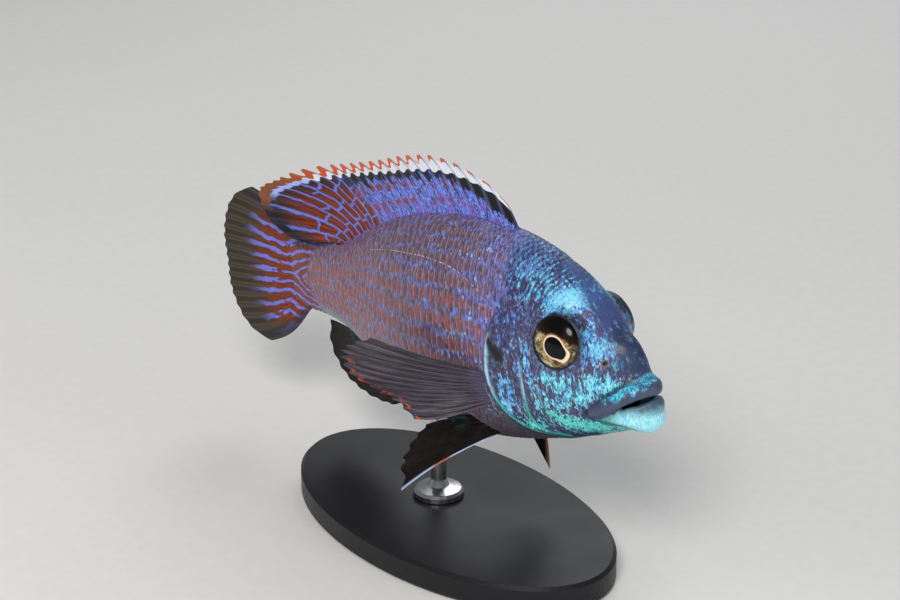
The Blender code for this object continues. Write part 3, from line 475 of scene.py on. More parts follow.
def dress_skin(skin):
    """Sinks and raises the head's grooves and ridges, then keeps each vertex's place, the weights of its markings and
    the painted shade in its grooves and round its eyes.
    """
    place, degrees = straight_places(skin.data)
    s, y, z = place.T
    y_out = np.abs(y)
    off_eye = np.hypot(s - EYE_CENTRE[0], z - EYE_CENTRE[2])
    flank = smooth((y_out - 0.02) / 0.02)
    dent = groove(s, z, ((0.15, -0.012), (0.132, -0.045), (0.124, -0.078)), 0.0055, 0.0016)
    dent += groove(s, z, ((0.126, -0.084), (0.136, -0.098), (0.14, -0.114)), 0.005, 0.0034)
    dent += groove(s, z, ((0.14, -0.114), (0.15, -0.128), (0.172, -0.14)), 0.005, 0.0022)
    lip_line = groove(s, z, LIP_CREASE, 0.0038, 0.0026)
    dent += lip_line
    dent += groove(s, z, ((0.118, -0.016), (0.1, 0.012), (0.096, 0.04)), 0.008, 0.0012)
    dent += -0.0012 * bell(off_eye - 0.068, 0.006) * smooth((0.03 - z) / 0.04)
    distance, along = line_distance(s, z, CHEEK_EDGE)
    dent += -0.0022 * bell(distance, 0.0045) * np.sin(pi * np.clip(along, 0, 1)) ** 0.5
    for lines in (((0.25, -0.15), (0.214, -0.158), (0.17, -0.156)),
            ((0.262, -0.16), (0.222, -0.166), (0.176, -0.163))):
        dent += groove(s, z, lines, 0.003, 0.0016)
    dent += 0.0012 * rise(s, z, (0.15, 0.078), (0.02, 0.01))
    mesh = skin.data
    normals = np.empty(len(mesh.vertices) * 3)
    mesh.vertices.foreach_get("normal", normals)
    normals = normals.reshape(-1, 3)
    depth = (dent * flank * (s < 0.4))[:, None] * STANDARD_LENGTH
    set_coordinates(mesh, swim(coordinates(mesh) + normals * depth))

    upper, upper_high = lip_place(place, UPPER_LIP, UPPER_SLOPE, 0.007, 0.022)
    lower, lower_high = lip_place(place, LOWER_LIP, LOWER_RIDGE, 0.005, 0.032)
    top = np.interp(s, *np.array(LIP_CREASE).T)
    on_upper = ((1 - smooth((upper - 1.0) / 0.16)) * smooth((z - lip_split(s)) / 0.004)
            * (1 - smooth((z - top) / 0.004)))
    on_lower = (1 - smooth((lower - 1.0) / 0.16)) * (1 - smooth((z - lip_split(s)) / 0.004))
    gap = margin_s(degrees) - s
    flecks, trunk = regions(s, z, degrees)
    edge = 1.2 * bell(gap - 0.0062, 0.0042) * smooth((degrees - 74) / 8) * (1 - 0.5 * smooth((degrees - 128) / 25))
    line = bell(distance, 0.0027) * smooth((along - 0.22) / 0.2) * (gap > 0)
    line2, _ = line_distance(s, z, ((0.214, -0.046), (0.212, -0.085), (0.192, -0.112)))
    line = np.maximum(line, 0.45 * bell(line2, 0.0024))
    slot, _ = line_distance(s, z, ((0.3125, 0.026), (0.304, 0.01), (0.292, 0.0)))
    spot = ((1.1 * bell(slot, 0.0095) + rise(s, z, (0.292, -0.006), (0.014, 0.022), 0.55))
            * smooth((gap - 0.0035) / 0.003))
    ahead, above = EYE_CENTRE[0] - s, z - EYE_CENTRE[2]
    # Painted shade: a dark band along the front-upper rim of each eye, wider round the left eye.
    brow_shade_width = np.where(y > 0, 0.0125, 0.0062)
    brow_shade = 0.92 * (1 - smooth((off_eye - 0.048) / brow_shade_width)) * smooth((0.75 * ahead + 0.66 * above) / 0.03)
    # Painted shade: a dark line just behind the gill cover's free edge, where it overlaps the body.
    gill_edge_shade = bell(gap + 0.0012, 0.0034) * smooth((degrees - 74) / 10)
    nostril = np.hypot(s - NOSTRIL[0], z - NOSTRIL[2])
    ridge = ((1 - smooth((y_out - 0.02 + 0.013 * smooth((s - 0.125) / 0.05)) / 0.024)) * smooth((z + 0.04) / 0.03)
            * smooth((0.3 - s) / 0.08))
    snout = rise(s, z, (0.068, -0.004), (0.02, 0.026)) * (1 - smooth((y_out - 0.034) / 0.02))
    throat = smooth((degrees - 146) / 10) * smooth((s - 0.1) / 0.05) * smooth((z + 0.1) / -0.03)
    # Painted shade in the groove over the upper lip and in two grooves round the mouth's corner and the lower lip.
    fold_shade = np.maximum(-lip_line / 0.0026, 0.8
            * np.clip(-groove(s, z, ((0.126, -0.084), (0.136, -0.098), (0.14, -0.114)), 0.004, 1.0), 0, 1))
    fold_shade = np.maximum(fold_shade, 0.9
            * np.clip(-groove(s, z, ((0.048, -0.121), (0.066, -0.112), (0.088, -0.108), (0.116, -0.106)), 0.003,
            1.0), 0, 1))
    # Painted shade inside the open mouth.
    mouth_shade = (z < -0.062) & (z > -0.104) & (s > 0.046) & (s < 0.105) & (y_out < 0.026 + 0.3 * (s - 0.046))
    note(skin, "fish", place)
    note(skin, "flecks", flecks)
    # The second number of lines holds the gill cover's dark spot and the painted shade behind its edge, in the grooves
    # round the lips and on the eyes' front-upper rims.
    note(skin, "lines",
            stack(np.clip(np.maximum(edge, line), 0, 1),
            np.clip(np.max([spot, 0.95 * gill_edge_shade, 0.9 * fold_shade * smooth((y_out - 0.006) / 0.016), brow_shade], 0), 0, 1),
            trunk))
    note(skin, "lips", stack(on_upper, on_lower, np.where(on_upper > on_lower, upper_high, lower_high)))
    note(skin, "tones", stack(np.maximum(ridge, snout), throat, mouth_shade & (upper > 1.02) & (lower > 1.02)))
    note(skin, "round", stack(degrees / 180, off_eye, nostril))
    note(skin, "lattice", lattice_place(s, degrees))
    mesh.shade_smooth()


# Where each kind of fleck gathers: s, z, half widths along both, and weight.
AZURE_SPOTS = ((0.161, 0.104, 0.036, 0.023, 1.9), (0.212, 0.118, 0.034, 0.03, 0.62),
        (0.24, 0.15, 0.046, 0.034, 0.62), (0.12, 0.042, 0.016, 0.022, 0.8), (0.097, 0.018, 0.024, 0.02, 1.15),
        (0.076, -0.012, 0.018, 0.016, 0.75), (0.283, -0.078, 0.019, 0.046, 1.1), (0.238, 0.0, 0.03, 0.05, 0.34))
TEAL_SPOTS = ((0.176, -0.036, 0.024, 0.018, 1.15), (0.112, -0.048, 0.022, 0.03, 1.05),
        (0.146, -0.062, 0.022, 0.022, 0.95), (0.076, -0.036, 0.022, 0.012, 0.8), (0.222, -0.08, 0.02, 0.046, 0.62),
        (0.185, -0.08, 0.016, 0.016, 0.5))
GREEN_SPOTS = ((0.193, -0.102, 0.028, 0.013, 1.05), (0.164, -0.118, 0.026, 0.011, 1.1),
        (0.108, -0.123, 0.04, 0.013, 1.7), (0.25, -0.132, 0.03, 0.016, 1.15), (0.145, -0.136, 0.034, 0.01, 0.8))
FLECK_SPOTS = AZURE_SPOTS, TEAL_SPOTS, GREEN_SPOTS


def regions(s, z, degrees):
    """Weights of azure, turquoise and green flecks, and of the trunk's own markings, shared by skin and scales."""
    flecks = [sum((rise(s, z, spot[:2], spot[2:4], spot[4]) for spot in spots)) for spots in FLECK_SPOTS]
    behind = s - margin_s(degrees)
    nape = smooth((s - 0.225) / 0.12) * (1 - smooth((degrees - 56) / 12))
    trunk = np.maximum(np.where(degrees < 64, nape, 0), smooth((behind + 0.002) / 0.003)
            * smooth((degrees - 50) / 18))
    return stack(*flecks), trunk


def lip_split(s):
    """Height of the line where the lips meet."""
    top, low = np.array(MOUTH_TOP), np.array(MOUTH_LOW)[::-1]
    return (np.interp(s, top[:, 0], top[:, 1]) + np.interp(s, low[:, 0], low[:, 1])) / 2


# ---- scales ----

FINE_S = np.linspace(0.1, 1.1, 2001)
FINE_COLUMN = np.concatenate([[0], np.cumsum((FINE_S[1] - FINE_S[0]) / np.interp(FINE_S[:-1], *COLUMN_PITCH.T))])


def own_number(column, row):
    """A number from 0 to 1 for one scale, the same wherever it is asked for."""
    mixed = np.sin(column * 12.9898 + row * 78.233) * 43758.5453
    return mixed - np.floor(mixed)


def lattice_place(s, degrees):
    """Place in the scale whose bare part covers a point: pitches ahead of its rear edge, rows across, own number."""
    wide = np.where(s > ROWS_MERGE, 2.0, 1.0)
    across = (degrees - ROW_FIRST) / (ROW_PITCH * wide)
    row = np.round(across)
    column = np.interp(s, FINE_S, FINE_COLUMN) - 0.5 * (row % 2)
    rear = np.ceil(column)
    return stack(rear - column, across - row, own_number(rear, row))


def scale_roots(side):
    """One line a scale: rear edge s, degrees, pitch, half height in degrees, lift, its own number, size of its dash."""
    rng = np.random.default_rng(7 + side)
    roots = []
    for wide, start, end in ((1, 0.28, ROWS_MERGE), (2, ROWS_MERGE, 1.04)):
        rows = [ROW_FIRST + ROW_PITCH * wide * row for row in range(ROW_COUNT // wide + 1)]
        if wide == 1:
            rows[-1] = 180.0
        for row, degrees in enumerate(rows):
            if degrees > 175 and side < 0:
                continue
            first = float(margin_s(degrees) + 0.003 + 0.0035 * smooth((degrees - 98) / 12)) if degrees > 56 else 0.3
            for column in np.arange(int(FINE_COLUMN[-1]) + 1) + 0.5 * (row % 2):
                s = float(np.interp(column, FINE_COLUMN, FINE_S))
                if not max(first, start) < s <= end or (degrees > 134 and s < 0.43) or (degrees < 30 and s < 0.36):
                    continue
                roots.append((s + rng.normal(0, 0.0007), side * (degrees + rng.normal(0, 0.25)),
                        float(np.interp(s, *COLUMN_PITCH.T)), ROW_PITCH * wide * 0.6, rng.normal(0, 0.0002),
                        own_number(column // 1, row), 1.0))
    return roots


def small_roots(side):
    """Finer scales on the nape and the breast."""
    rng = np.random.default_rng(70 + side)
    roots = []
    for k, degrees in enumerate(np.arange(SMALL_ROW / 2, 180, SMALL_ROW)):
        for j in range(120):
            s = 0.19 + SMALL_PITCH * (j + 0.5 * (k % 2))
            nape = degrees < 33 + (0.3 - s) * 200 and degrees < 62 and (s < (0.368 if degrees < 27 else 0.306))
            nape = nape and s > 0.2 + 0.0011 * degrees
            breast = degrees > 131 and float(margin_s(degrees)) + 0.0065 < s < 0.437
            if nape or breast:
                fade = smooth((s - 0.2) / 0.09) if nape else 1.0
                roots.append((s + rng.normal(0, 0.0006), side * (degrees + rng.normal(0, 0.2)), SMALL_PITCH, SMALL_ROW * 0.62,
                        -0.0002 - 0.0016 * (1 - fade) + rng.normal(0, 0.0001), rng.random(), 0.45))
    return roots


def tail_root_pinch(points):
    """Brings points behind the body's end in to the fin's root, as the skin's taper does."""
    past = np.clip((points[..., 0] - TAIL_END) / TAIL_ROOT, 0, 1.4)
    pinch = stack(np.ones_like(past), 1 - TAIL_THINNER * np.minimum(past, 1) ** 0.8, 1 - TAIL_LOWER * past)
    return points * pinch


def make_scales(name, roots, lengths=6, widths=9):
    """Thin overlapping plates, each with a rounded rear edge that stands off the one behind it."""
    root = np.array(roots)
    s0, v0, pitch, half, lift, own, dash = (column[:, None, None] for column in root.T)
    ahead = np.linspace(0, 1, lengths)[None, :, None]
    across = np.sin(np.linspace(-pi / 2, pi / 2, widths))[None, None, :]
    edge = 0.95 * (1 - np.sqrt(1 - (0.985 * across) ** 2))
    front = 2.0 - 0.45 * across ** 2
    forward = edge + (front - edge) * ahead ** 1.15
    s = s0 - pitch * forward
    v = v0 + half * across * (1 - 0.18 * ahead ** 2)
    dome = 0.0006 * (1 - across ** 2) * (1 - ahead) - 0.0003 * (1 - smooth(ahead * 4))
    high = SCALE_TOP + lift + dome - SCALE_SLOPE * pitch * forward
    thin = SCALE_THICKNESS * (0.55 + 0.45 * smooth(ahead * 3))
    beyond = np.maximum(s - TAIL_END, 0)
    s_on = np.minimum(s, TAIL_END)
    top = on_body(s_on, v, high) + stack(beyond, 0 * beyond, 0 * beyond)
    low = on_body(s_on, v, high - thin) + stack(beyond, 0 * beyond, 0 * beyond)
    top, low = tail_root_pinch(top), tail_root_pinch(low)
    n, each = len(root), lengths * widths
    points = np.stack([top.reshape(n, each, 3), low.reshape(n, each, 3)], 1).reshape(-1, 3)
    quads = grid_faces(lengths, widths)
    border = list(range(widths)) + [widths - 1 + widths * i for i in range(1, lengths)]
    border += [each - 1 - i for i in range(1, widths)] + [widths * i for i in range(lengths - 2, 0, -1)]
    border = np.array(border)
    following = np.roll(border, -1)
    wall = stack(border, border + each, following + each, following)
    one = np.concatenate([quads[:, ::-1], quads + each, wall])
    faces = (one[None] + (np.arange(n) * 2 * each)[:, None, None]).reshape(-1, 4)
    obj = mesh_object(name, swim(metres(points)), faces.tolist())
    outward(obj)
    whole = n, lengths, widths
    local = stack(np.broadcast_to(forward, whole), np.broadcast_to(across * 0.6, whole),
            np.broadcast_to(own, whole))
    local = np.repeat(local.reshape(n, 1, each, 3), 2, 1).reshape(-1, 3)
    note(obj, "fish", points)
    note(obj, "lattice", local)
    around = np.broadcast_to(fold(v), whole) / 180
    extra = stack(around, np.broadcast_to(dash, whole), np.broadcast_to(s, whole))
    note(obj, "round", np.repeat(extra.reshape(n, 1, each, 3), 2, 1).reshape(-1, 3))
    flecks, trunk = regions(points[:, 0], points[:, 2],
            np.repeat(fold(np.broadcast_to(v, whole)).reshape(n, 1, each), 2, 1).ravel())
    note(obj, "flecks", flecks)
    shade = around * 180
    behind = np.broadcast_to(s, whole) - margin_s(shade)
    shade = 0.95 * (1 - smooth((behind - 0.003) / 0.0045)) * smooth((shade - 84) / 14)
    shade = np.repeat(shade.reshape(n, 1, each), 2, 1).ravel()
    note(obj, "lines", stack(0 * shade, shade, trunk))
    uv = stack(0.02 + 0.96 * (root[:, 0] - 0.15) / 0.95, 0.5 + 0.48 * root[:, 1] / 180)[:, None, None, :]
    patch = np.stack(np.broadcast_arrays((ahead - 0.5) * 0.003, across * 0.0015), -1)
    uv = np.repeat((uv + patch).reshape(n, 1, each, 2), 2, 1).reshape(-1, 2)
    bake_map(obj, uv)
    obj.data.shade_smooth()
    obj.data.set_sharp_from_angle(angle=radians(50))
    return obj


def bake_map(obj, uv):
    layer = obj.data.uv_layers.new(name="OFBake")
    index = np.empty(len(obj.data.loops), dtype=np.int32)
    obj.data.loops.foreach_get("vertex_index", index)
    layer.data.foreach_set("uv", np.ascontiguousarray(uv[index], dtype=np.float32).ravel())


def make_lateral_line():
    """The pored scales' tubes: one short pale ridge on each scale of the line."""
    points, faces, start = [], [], 0
    rear = np.array([(0.69, 88.5), (0.8, 89.5), (0.9, 90.0), (1.0, 90.0)])
    for side in (-1, 1):
        for table in (LATERAL_LINE, rear):
            places = spline(table, np.linspace(0, len(table) - 1, 200))
            run = np.concatenate([[0], np.cumsum(np.hypot(np.diff(places[:, 0]), np.diff(places[:, 1]) / 300))])
            for middle in np.arange(0.006, run[-1] - 0.004, TUBE_PITCH):
                ring_points = []
                for t in np.linspace(-1, 1, TUBE_RINGS):
                    at = middle + TUBE_HALF * t
                    s, v = np.interp(at, run, places[:, 0]), np.interp(at, run, places[:, 1])
                    radius = TUBE_RADIUS * (1 - 0.75 * abs(t) ** 2.5) * (0.75 if table is rear else 1.0)
                    centre_lift = SCALE_TOP + 0.0004
                    for turn in np.arange(TUBE_SIDES) * 2 * pi / TUBE_SIDES:
                        ring_points.append(on_body(s, side * (v + 95 * radius * 4.2 * cos(turn)), centre_lift
                                + radius * sin(turn)))
                points.append(np.array(ring_points))
                block = grid_faces(TUBE_RINGS, TUBE_SIDES, wrap=True, start=start).tolist()
                last = start + (TUBE_RINGS - 1) * TUBE_SIDES
                faces += [*block, tuple(start + i for i in range(TUBE_SIDES)),
                        tuple(last + i for i in reversed(range(TUBE_SIDES)))]
                start += TUBE_RINGS * TUBE_SIDES
    obj = mesh_object("lateral_line", swim(metres(np.concatenate(points))), faces)
    outward(obj)
    note(obj, "fish", np.concatenate(points))
    obj.data.shade_smooth()
    return obj


# ---- fins ----

SPINES, SOFT_RAYS, DORSAL_START, SPINES_END, DORSAL_END = 17, 11, 0.298, 0.74, 0.885
DORSAL_TIPS = np.array([(0, 0.318, 0.243), (1, 0.353, 0.274), (2, 0.393, 0.292), (3, 0.431, 0.303),
        (5, 0.497, 0.309), (8, 0.585, 0.297), (12, 0.694, 0.272), (16, 0.808, 0.249), (18, 0.88, 0.236),
        (20, 0.96, 0.22), (22, 1.04, 0.201), (23.3, 1.078, 0.182), (24.3, 1.076, 0.15), (25.2, 1.054, 0.117),
        (26.1, 1.01, 0.089), (27, 0.965, 0.076)])
CAUDAL_RAYS, ANAL_SPINES, ANAL_RAYS, PECTORAL_RAYS, PELVIC_RAYS = 16, 3, 11, 13, 6
ANAL_TIPS = np.array([(0, 0.705, -0.186), (1, 0.74, -0.212), (2, 0.78, -0.226), (4, 0.86, -0.226),
        (6, 0.928, -0.206), (7.5, 0.965, -0.174), (8.8, 0.982, -0.134), (10, 0.972, -0.088)])
PECTORAL_ROOT = (0.341, 98.5), (0.343, 122.0)
PECTORAL_TIPS = np.array([(0.51, -0.175, 0.018), (0.578, -0.181, -0.011), (0.602, -0.18, -0.038),
        (0.582, -0.178, -0.066), (0.524, -0.178, -0.078), (0.47, -0.176, -0.09), (0.43, -0.168, -0.121)])
PELVIC_ROOT = (0.353, 154.5), (0.405, 137.0)
RIGHT_PELVIC_TIPS = np.array([(0.56, 0.11, -0.311), (0.556, 0.108, -0.266), (0.55, 0.104, -0.243),
        (0.532, 0.099, -0.214), (0.512, 0.093, -0.19), (0.492, 0.087, -0.169)])
LEFT_PELVIC_TIPS = np.array([(0.41, 0.13, -0.308), (0.486, 0.138, -0.232), (0.5, 0.127, -0.216),
        (0.502, 0.112, -0.2), (0.498, 0.1, -0.186), (0.49, 0.09, -0.17)])


def dorsal_point(u, w):
    """The rays lean back, more towards their tips, and a pointed flap trails behind each spine."""
    spiny = DORSAL_START + (SPINES_END - DORSAL_START) * u / (SPINES - 1)
    soft = SPINES_END + (DORSAL_END - SPINES_END) * (u - SPINES + 1) / SOFT_RAYS
    root_s = np.where(u <= SPINES - 1, spiny, soft)
    root = stack(root_s, back_height(root_s))
    lean = 2.4 * (1 - smooth((u - 17) / 9.0))
    even = np.interp(0.318 + 0.0361 * u, DORSAL_TIPS[:12, 1], DORSAL_TIPS[:12, 0])
    tip = spline(DORSAL_TIPS, np.interp(np.where(u < SPINES - 1, even, u + lean), DORSAL_TIPS[:, 0],
            np.arange(len(DORSAL_TIPS))))[..., 1:]
    behind = u - np.floor(u)
    high = np.maximum(1 - smooth((behind - 0.15) / 0.62), smooth((behind - 0.9) / 0.1))
    flap = 0.11 * high - 0.042
    fringe = 1 - smooth((u - 16.5) / 4.0)
    reach = 1 + flap * fringe - 0.018 * np.sin(pi * behind) ** 2 * (1 - fringe)
    tip = root + (tip - root) * reach[..., None]
    arch = np.linalg.norm(tip - root, axis=-1) * w * (1 - w)
    arch *= 1 - smooth((u - 23) / 4)
    swept = 0.012 * high * fringe * smooth(u / 2.0) * smooth((w - 0.72) / 0.28)
    s, z = np.moveaxis(root + (tip - root) * w[..., None] + stack(swept - 0.06 * arch, 0.16 * arch), -1, 0)
    return stack(s, -0.05 * smooth((s - 0.86) / 0.24), z)


def caudal_point(u, w):
    across = 2 * u / (CAUDAL_RAYS - 1) - 1
    root = stack(np.full(u.shape, TAIL_END), 0.061 * across)
    end = 1.286 - 0.05 * across ** 2 - 0.03 * across ** 6 - 0.034 * across ** 12 - 0.01 * bell(across, 0.3)
    scallop = 0.004 * np.sin(pi * (u - np.floor(u))) ** 2
    tip = stack(end - scallop, 0.152 * across + 0.022 * across ** 3 - 0.01 * across ** 9)
    flare = 0.018 * across * np.sin(pi * np.clip(w, 0, 1))
    s, z = np.moveaxis(root + (tip - root) * w[..., None] + stack(0 * flare, flare), -1, 0)
    return stack(s, 0.006 * across ** 2 * smooth(w), z)


def anal_point(u, w):
    root_s = 0.668 + (0.85 - 0.668) * u / (ANAL_RAYS - 1)
    root = stack(root_s, belly_height(root_s))
    tip = spline(ANAL_TIPS, np.interp(u, ANAL_TIPS[:, 0], np.arange(len(ANAL_TIPS))))[..., 1:]
    reach = 1 - 0.03 * np.sin(pi * (u - np.floor(u))) ** 2
    s, z = np.moveaxis(root + (tip - root) * (w * np.where(w > 0, reach, 1))[..., None], -1, 0)
    return stack(s, 0.012 * smooth(w), z)


def pectoral_point(side):
    def point(u, w):
        share = u / (PECTORAL_RAYS - 1)
        (top_s, top_angle), (low_s, low_angle) = PECTORAL_ROOT
        root = section(row_of(top_s + (low_s - top_s) * share),
                np.radians(top_angle + (low_angle - top_angle) * share))
        root = root * np.array([1, -1, 1])
        tip = spline(PECTORAL_TIPS, share * (len(PECTORAL_TIPS) - 1))
        fray = 1 - (0.03 + 0.04 * np.sin(3.7 * np.floor(u)) ** 2) * np.sin(pi * (u - np.floor(u))) ** 1.2
        tip = root + (tip - root) * fray[..., None]
        swell = np.sin(pi * np.clip(w, 0, 1))
        bow = stack(0 * w, -0.016 * swell, (0.5 - share) * 0.012 * swell)
        return (root + (tip - root) * w[..., None] + bow) * np.array([1, -side, 1])
    return point


def pelvic_point(side, tips, bow):
    def point(u, w):
        share = u / (PELVIC_RAYS - 1)
        (out_s, out_angle), (in_s, in_angle) = PELVIC_ROOT
        root = section(row_of(out_s + (in_s - out_s) * share),
                np.radians(out_angle + (in_angle - out_angle) * share))
        tip = spline(tips, u)
        tip = root + (tip - root) * (1 - 0.05 * np.sin(pi * (u - np.floor(u))) ** 2)[..., None]
        arc = np.array(bow) * (np.sin(pi * np.clip(w, 0, 1)) * (1 - 0.7 * share))[..., None]
        return (root + (tip - root) * w[..., None] + arc) * np.array([1, side, 1])
    return point


def make_fin(name, point, rays, first_soft, ray, web, root_swell, rows, deepest, per_ray=12):
    """A closed sheet with a thin membrane between raised rays, which fork towards the edge where they are soft."""
    u = np.linspace(0, rays - 1, (rays - 1) * per_ray + 1)
    w = np.concatenate([[deepest], np.linspace(0, 1, rows)])
    U, W = np.meshgrid(u, w, indexing="ij")
    grid = point(U, W)
    across, along = np.gradient(grid, axis=0), np.gradient(grid, axis=1)
    normal = np.cross(across, along)
    normal /= np.maximum(np.linalg.norm(normal, axis=-1, keepdims=True), 1e-12)
    away = U - np.round(U)
    fork = np.where(np.round(U) >= first_soft, 0.16 * smooth((W - 0.35) / 0.5), 0.0)
    crest = bell(np.abs(np.abs(away) - fork), 0.13)
    crest = np.maximum(crest, bell(away, 0.13) * (fork < 0.05))
    thin = 1 - 0.55 * np.clip(W, 0, 1)
    swell = (root_swell - web) * bell(np.clip(W, 0, 1), 0.07)
    half = ((web + (ray - web) * crest) * thin + swell * (0.6 + 0.4 * crest))[..., None]
    points = np.concatenate([(grid + normal * half).reshape(-1, 3), (grid - normal * half).reshape(-1, 3)])
    columns, count = U.shape
    total = columns * count
    faces = grid_faces(columns, count)
    faces = np.concatenate([faces, faces[:, ::-1] + total])
    rim = [i * count for i in range(columns)] + [(columns - 1) * count + j for j in range(1, count)]
    rim += [i * count + count - 1 for i in range(columns - 2, -1, -1)] + list(range(count - 2, 0, -1))
    rim = np.array(rim)
    following = np.roll(rim, -1)
    faces = np.concatenate([faces, stack(rim, following, following + total, rim + total)])
    obj = mesh_object(name, swim(metres(points)), faces.tolist())
    outward(obj)
    note(obj, "fin", np.tile(stack(U, W, np.broadcast_to(crest, U.shape)).reshape(-1, 3), (2, 1)))
    note(obj, "fish", points)
    obj.data.shade_smooth()
    obj.data.set_sharp_from_angle(angle=radians(60))
    return obj


# ---- materials ----

def srgb(code):
    """A colour written as it looks, #rrggbb, as the linear values that materials take."""
    c = np.array([int(code[i:i + 2], 16) for i in (1, 3, 5)]) / 255.0
    return (*np.where(c < 0.04045, c / 12.92, ((c + 0.055) / 1.055) ** 2.4).tolist(), 1.0)


class Value:
    """A node's output, which takes sums with numbers and other outputs."""

    def __init__(self, look, socket):
        self.look, self.socket = look, socket

    def __abs__(self):
        return self.look.math("ABSOLUTE", self)

    def fraction(self):
        return self.look.math("FRACT", self)

    def step(self, low, high, bottom=0.0, top=1.0):
        """Smooth step from bottom to top as the value goes from low to high; low may be the greater."""
        inputs = {"Value": self, "From Min": low, "From Max": high, "To Min": bottom, "To Max": top}
        return self.look.value(0, "MapRange", inputs, interpolation_type="SMOOTHSTEP")

    def near(self, centre, width):
        """1 at a centre, falling to 0 a width away."""
        return abs(self - centre).step(width, width * 0.45)


for sign, kind in (("add", "ADD"), ("sub", "SUBTRACT"), ("mul", "MULTIPLY"), ("truediv", "DIVIDE"),
        ("pow", "POWER")):
    setattr(Value, f"__{sign}__", lambda self, other, kind=kind: self.look.math(kind, self, other))
    setattr(Value, f"__r{sign}__", lambda self, other, kind=kind: self.look.math(kind, other, self))


class Look:
    """A node material, and short ways to add nodes to it."""

    def __init__(self, name, **shader):
        self.material = bpy.data.materials.new(name)
        self.material.use_nodes = True
        self.tree = self.material.node_tree
        self.shader = self.tree.nodes["Principled BSDF"]
        for key, value in shader.items():
            self.shader.inputs[key.replace("_", " ")].default_value = value

    def feed(self, socket, value):
        if isinstance(value, Value):
            self.tree.links.new(value.socket, socket)
        elif isinstance(value, str):
            socket.default_value = srgb(value)
        else:
            socket.default_value = value

    def add(self, kind, inputs=None, **settings):
        node = self.tree.nodes.new("ShaderNode" + kind)
        for key, value in settings.items():
            setattr(node, key, value)
        for key, value in (inputs or {}).items():
            self.feed(node.inputs[key], value)
        return node

    def value(self, output, kind, inputs=None, **settings):
        return Value(self, self.add(kind, inputs, **settings).outputs[output])

    def math(self, operation, *values):
        return self.value(0, "Math", dict(enumerate(values)), operation=operation)

    def most(self, a, b):
        return self.math("MAXIMUM", a, b)

    def mix(self, amount, a, b, blend="MIX"):
        return self.value(2, "Mix", {0: amount, 6: a, 7: b}, data_type="RGBA", blend_type=blend)

    def layers(self, colour, *layers):
        """Puts tones over a colour one after another, each by its own amount."""
        for amount, tone in layers:
            colour = self.mix(amount, colour, tone)
        return colour

    def read(self, name):
        return self.value("Vector", "Attribute", attribute_name=name)

    def parts(self, vector):
        return [Value(self, socket) for socket in self.add("SeparateXYZ", {0: vector}).outputs[:3]]

    def stretch(self, vector, factors):
        return self.value(0, "VectorMath", {0: vector, 1: factors}, operation="MULTIPLY")

    def noise(self, vector, scale, detail=2.0, rough=0.5, warp=0.0):
        inputs = {"Vector": vector, "Scale": scale, "Detail": detail, "Roughness": rough, "Distortion": warp}
        return self.value("Fac", "TexNoise", inputs)

    def cells(self, vector, scale, feature="F1"):
        return self.value("Distance", "TexVoronoi", {"Vector": vector, "Scale": scale}, feature=feature)

    def finish(self, colour, roughness, height, distance=0.0002, strength=0.6):
        """Links the colour, roughness and bump; height is in shares of distance, in metres."""
        self.feed(self.shader.inputs["Base Color"], colour)
        self.feed(self.shader.inputs["Roughness"], roughness)
        bump = self.value(0, "Bump", {"Height": height, "Distance": distance, "Strength": strength})
        self.feed(self.shader.inputs["Normal"], bump)
        return self.material


SKY, BLACK = "#96befa", "#080709"
RUST, PINK_RUST, ORANGE = "#aa4418", "#984244", "#b05a2e"


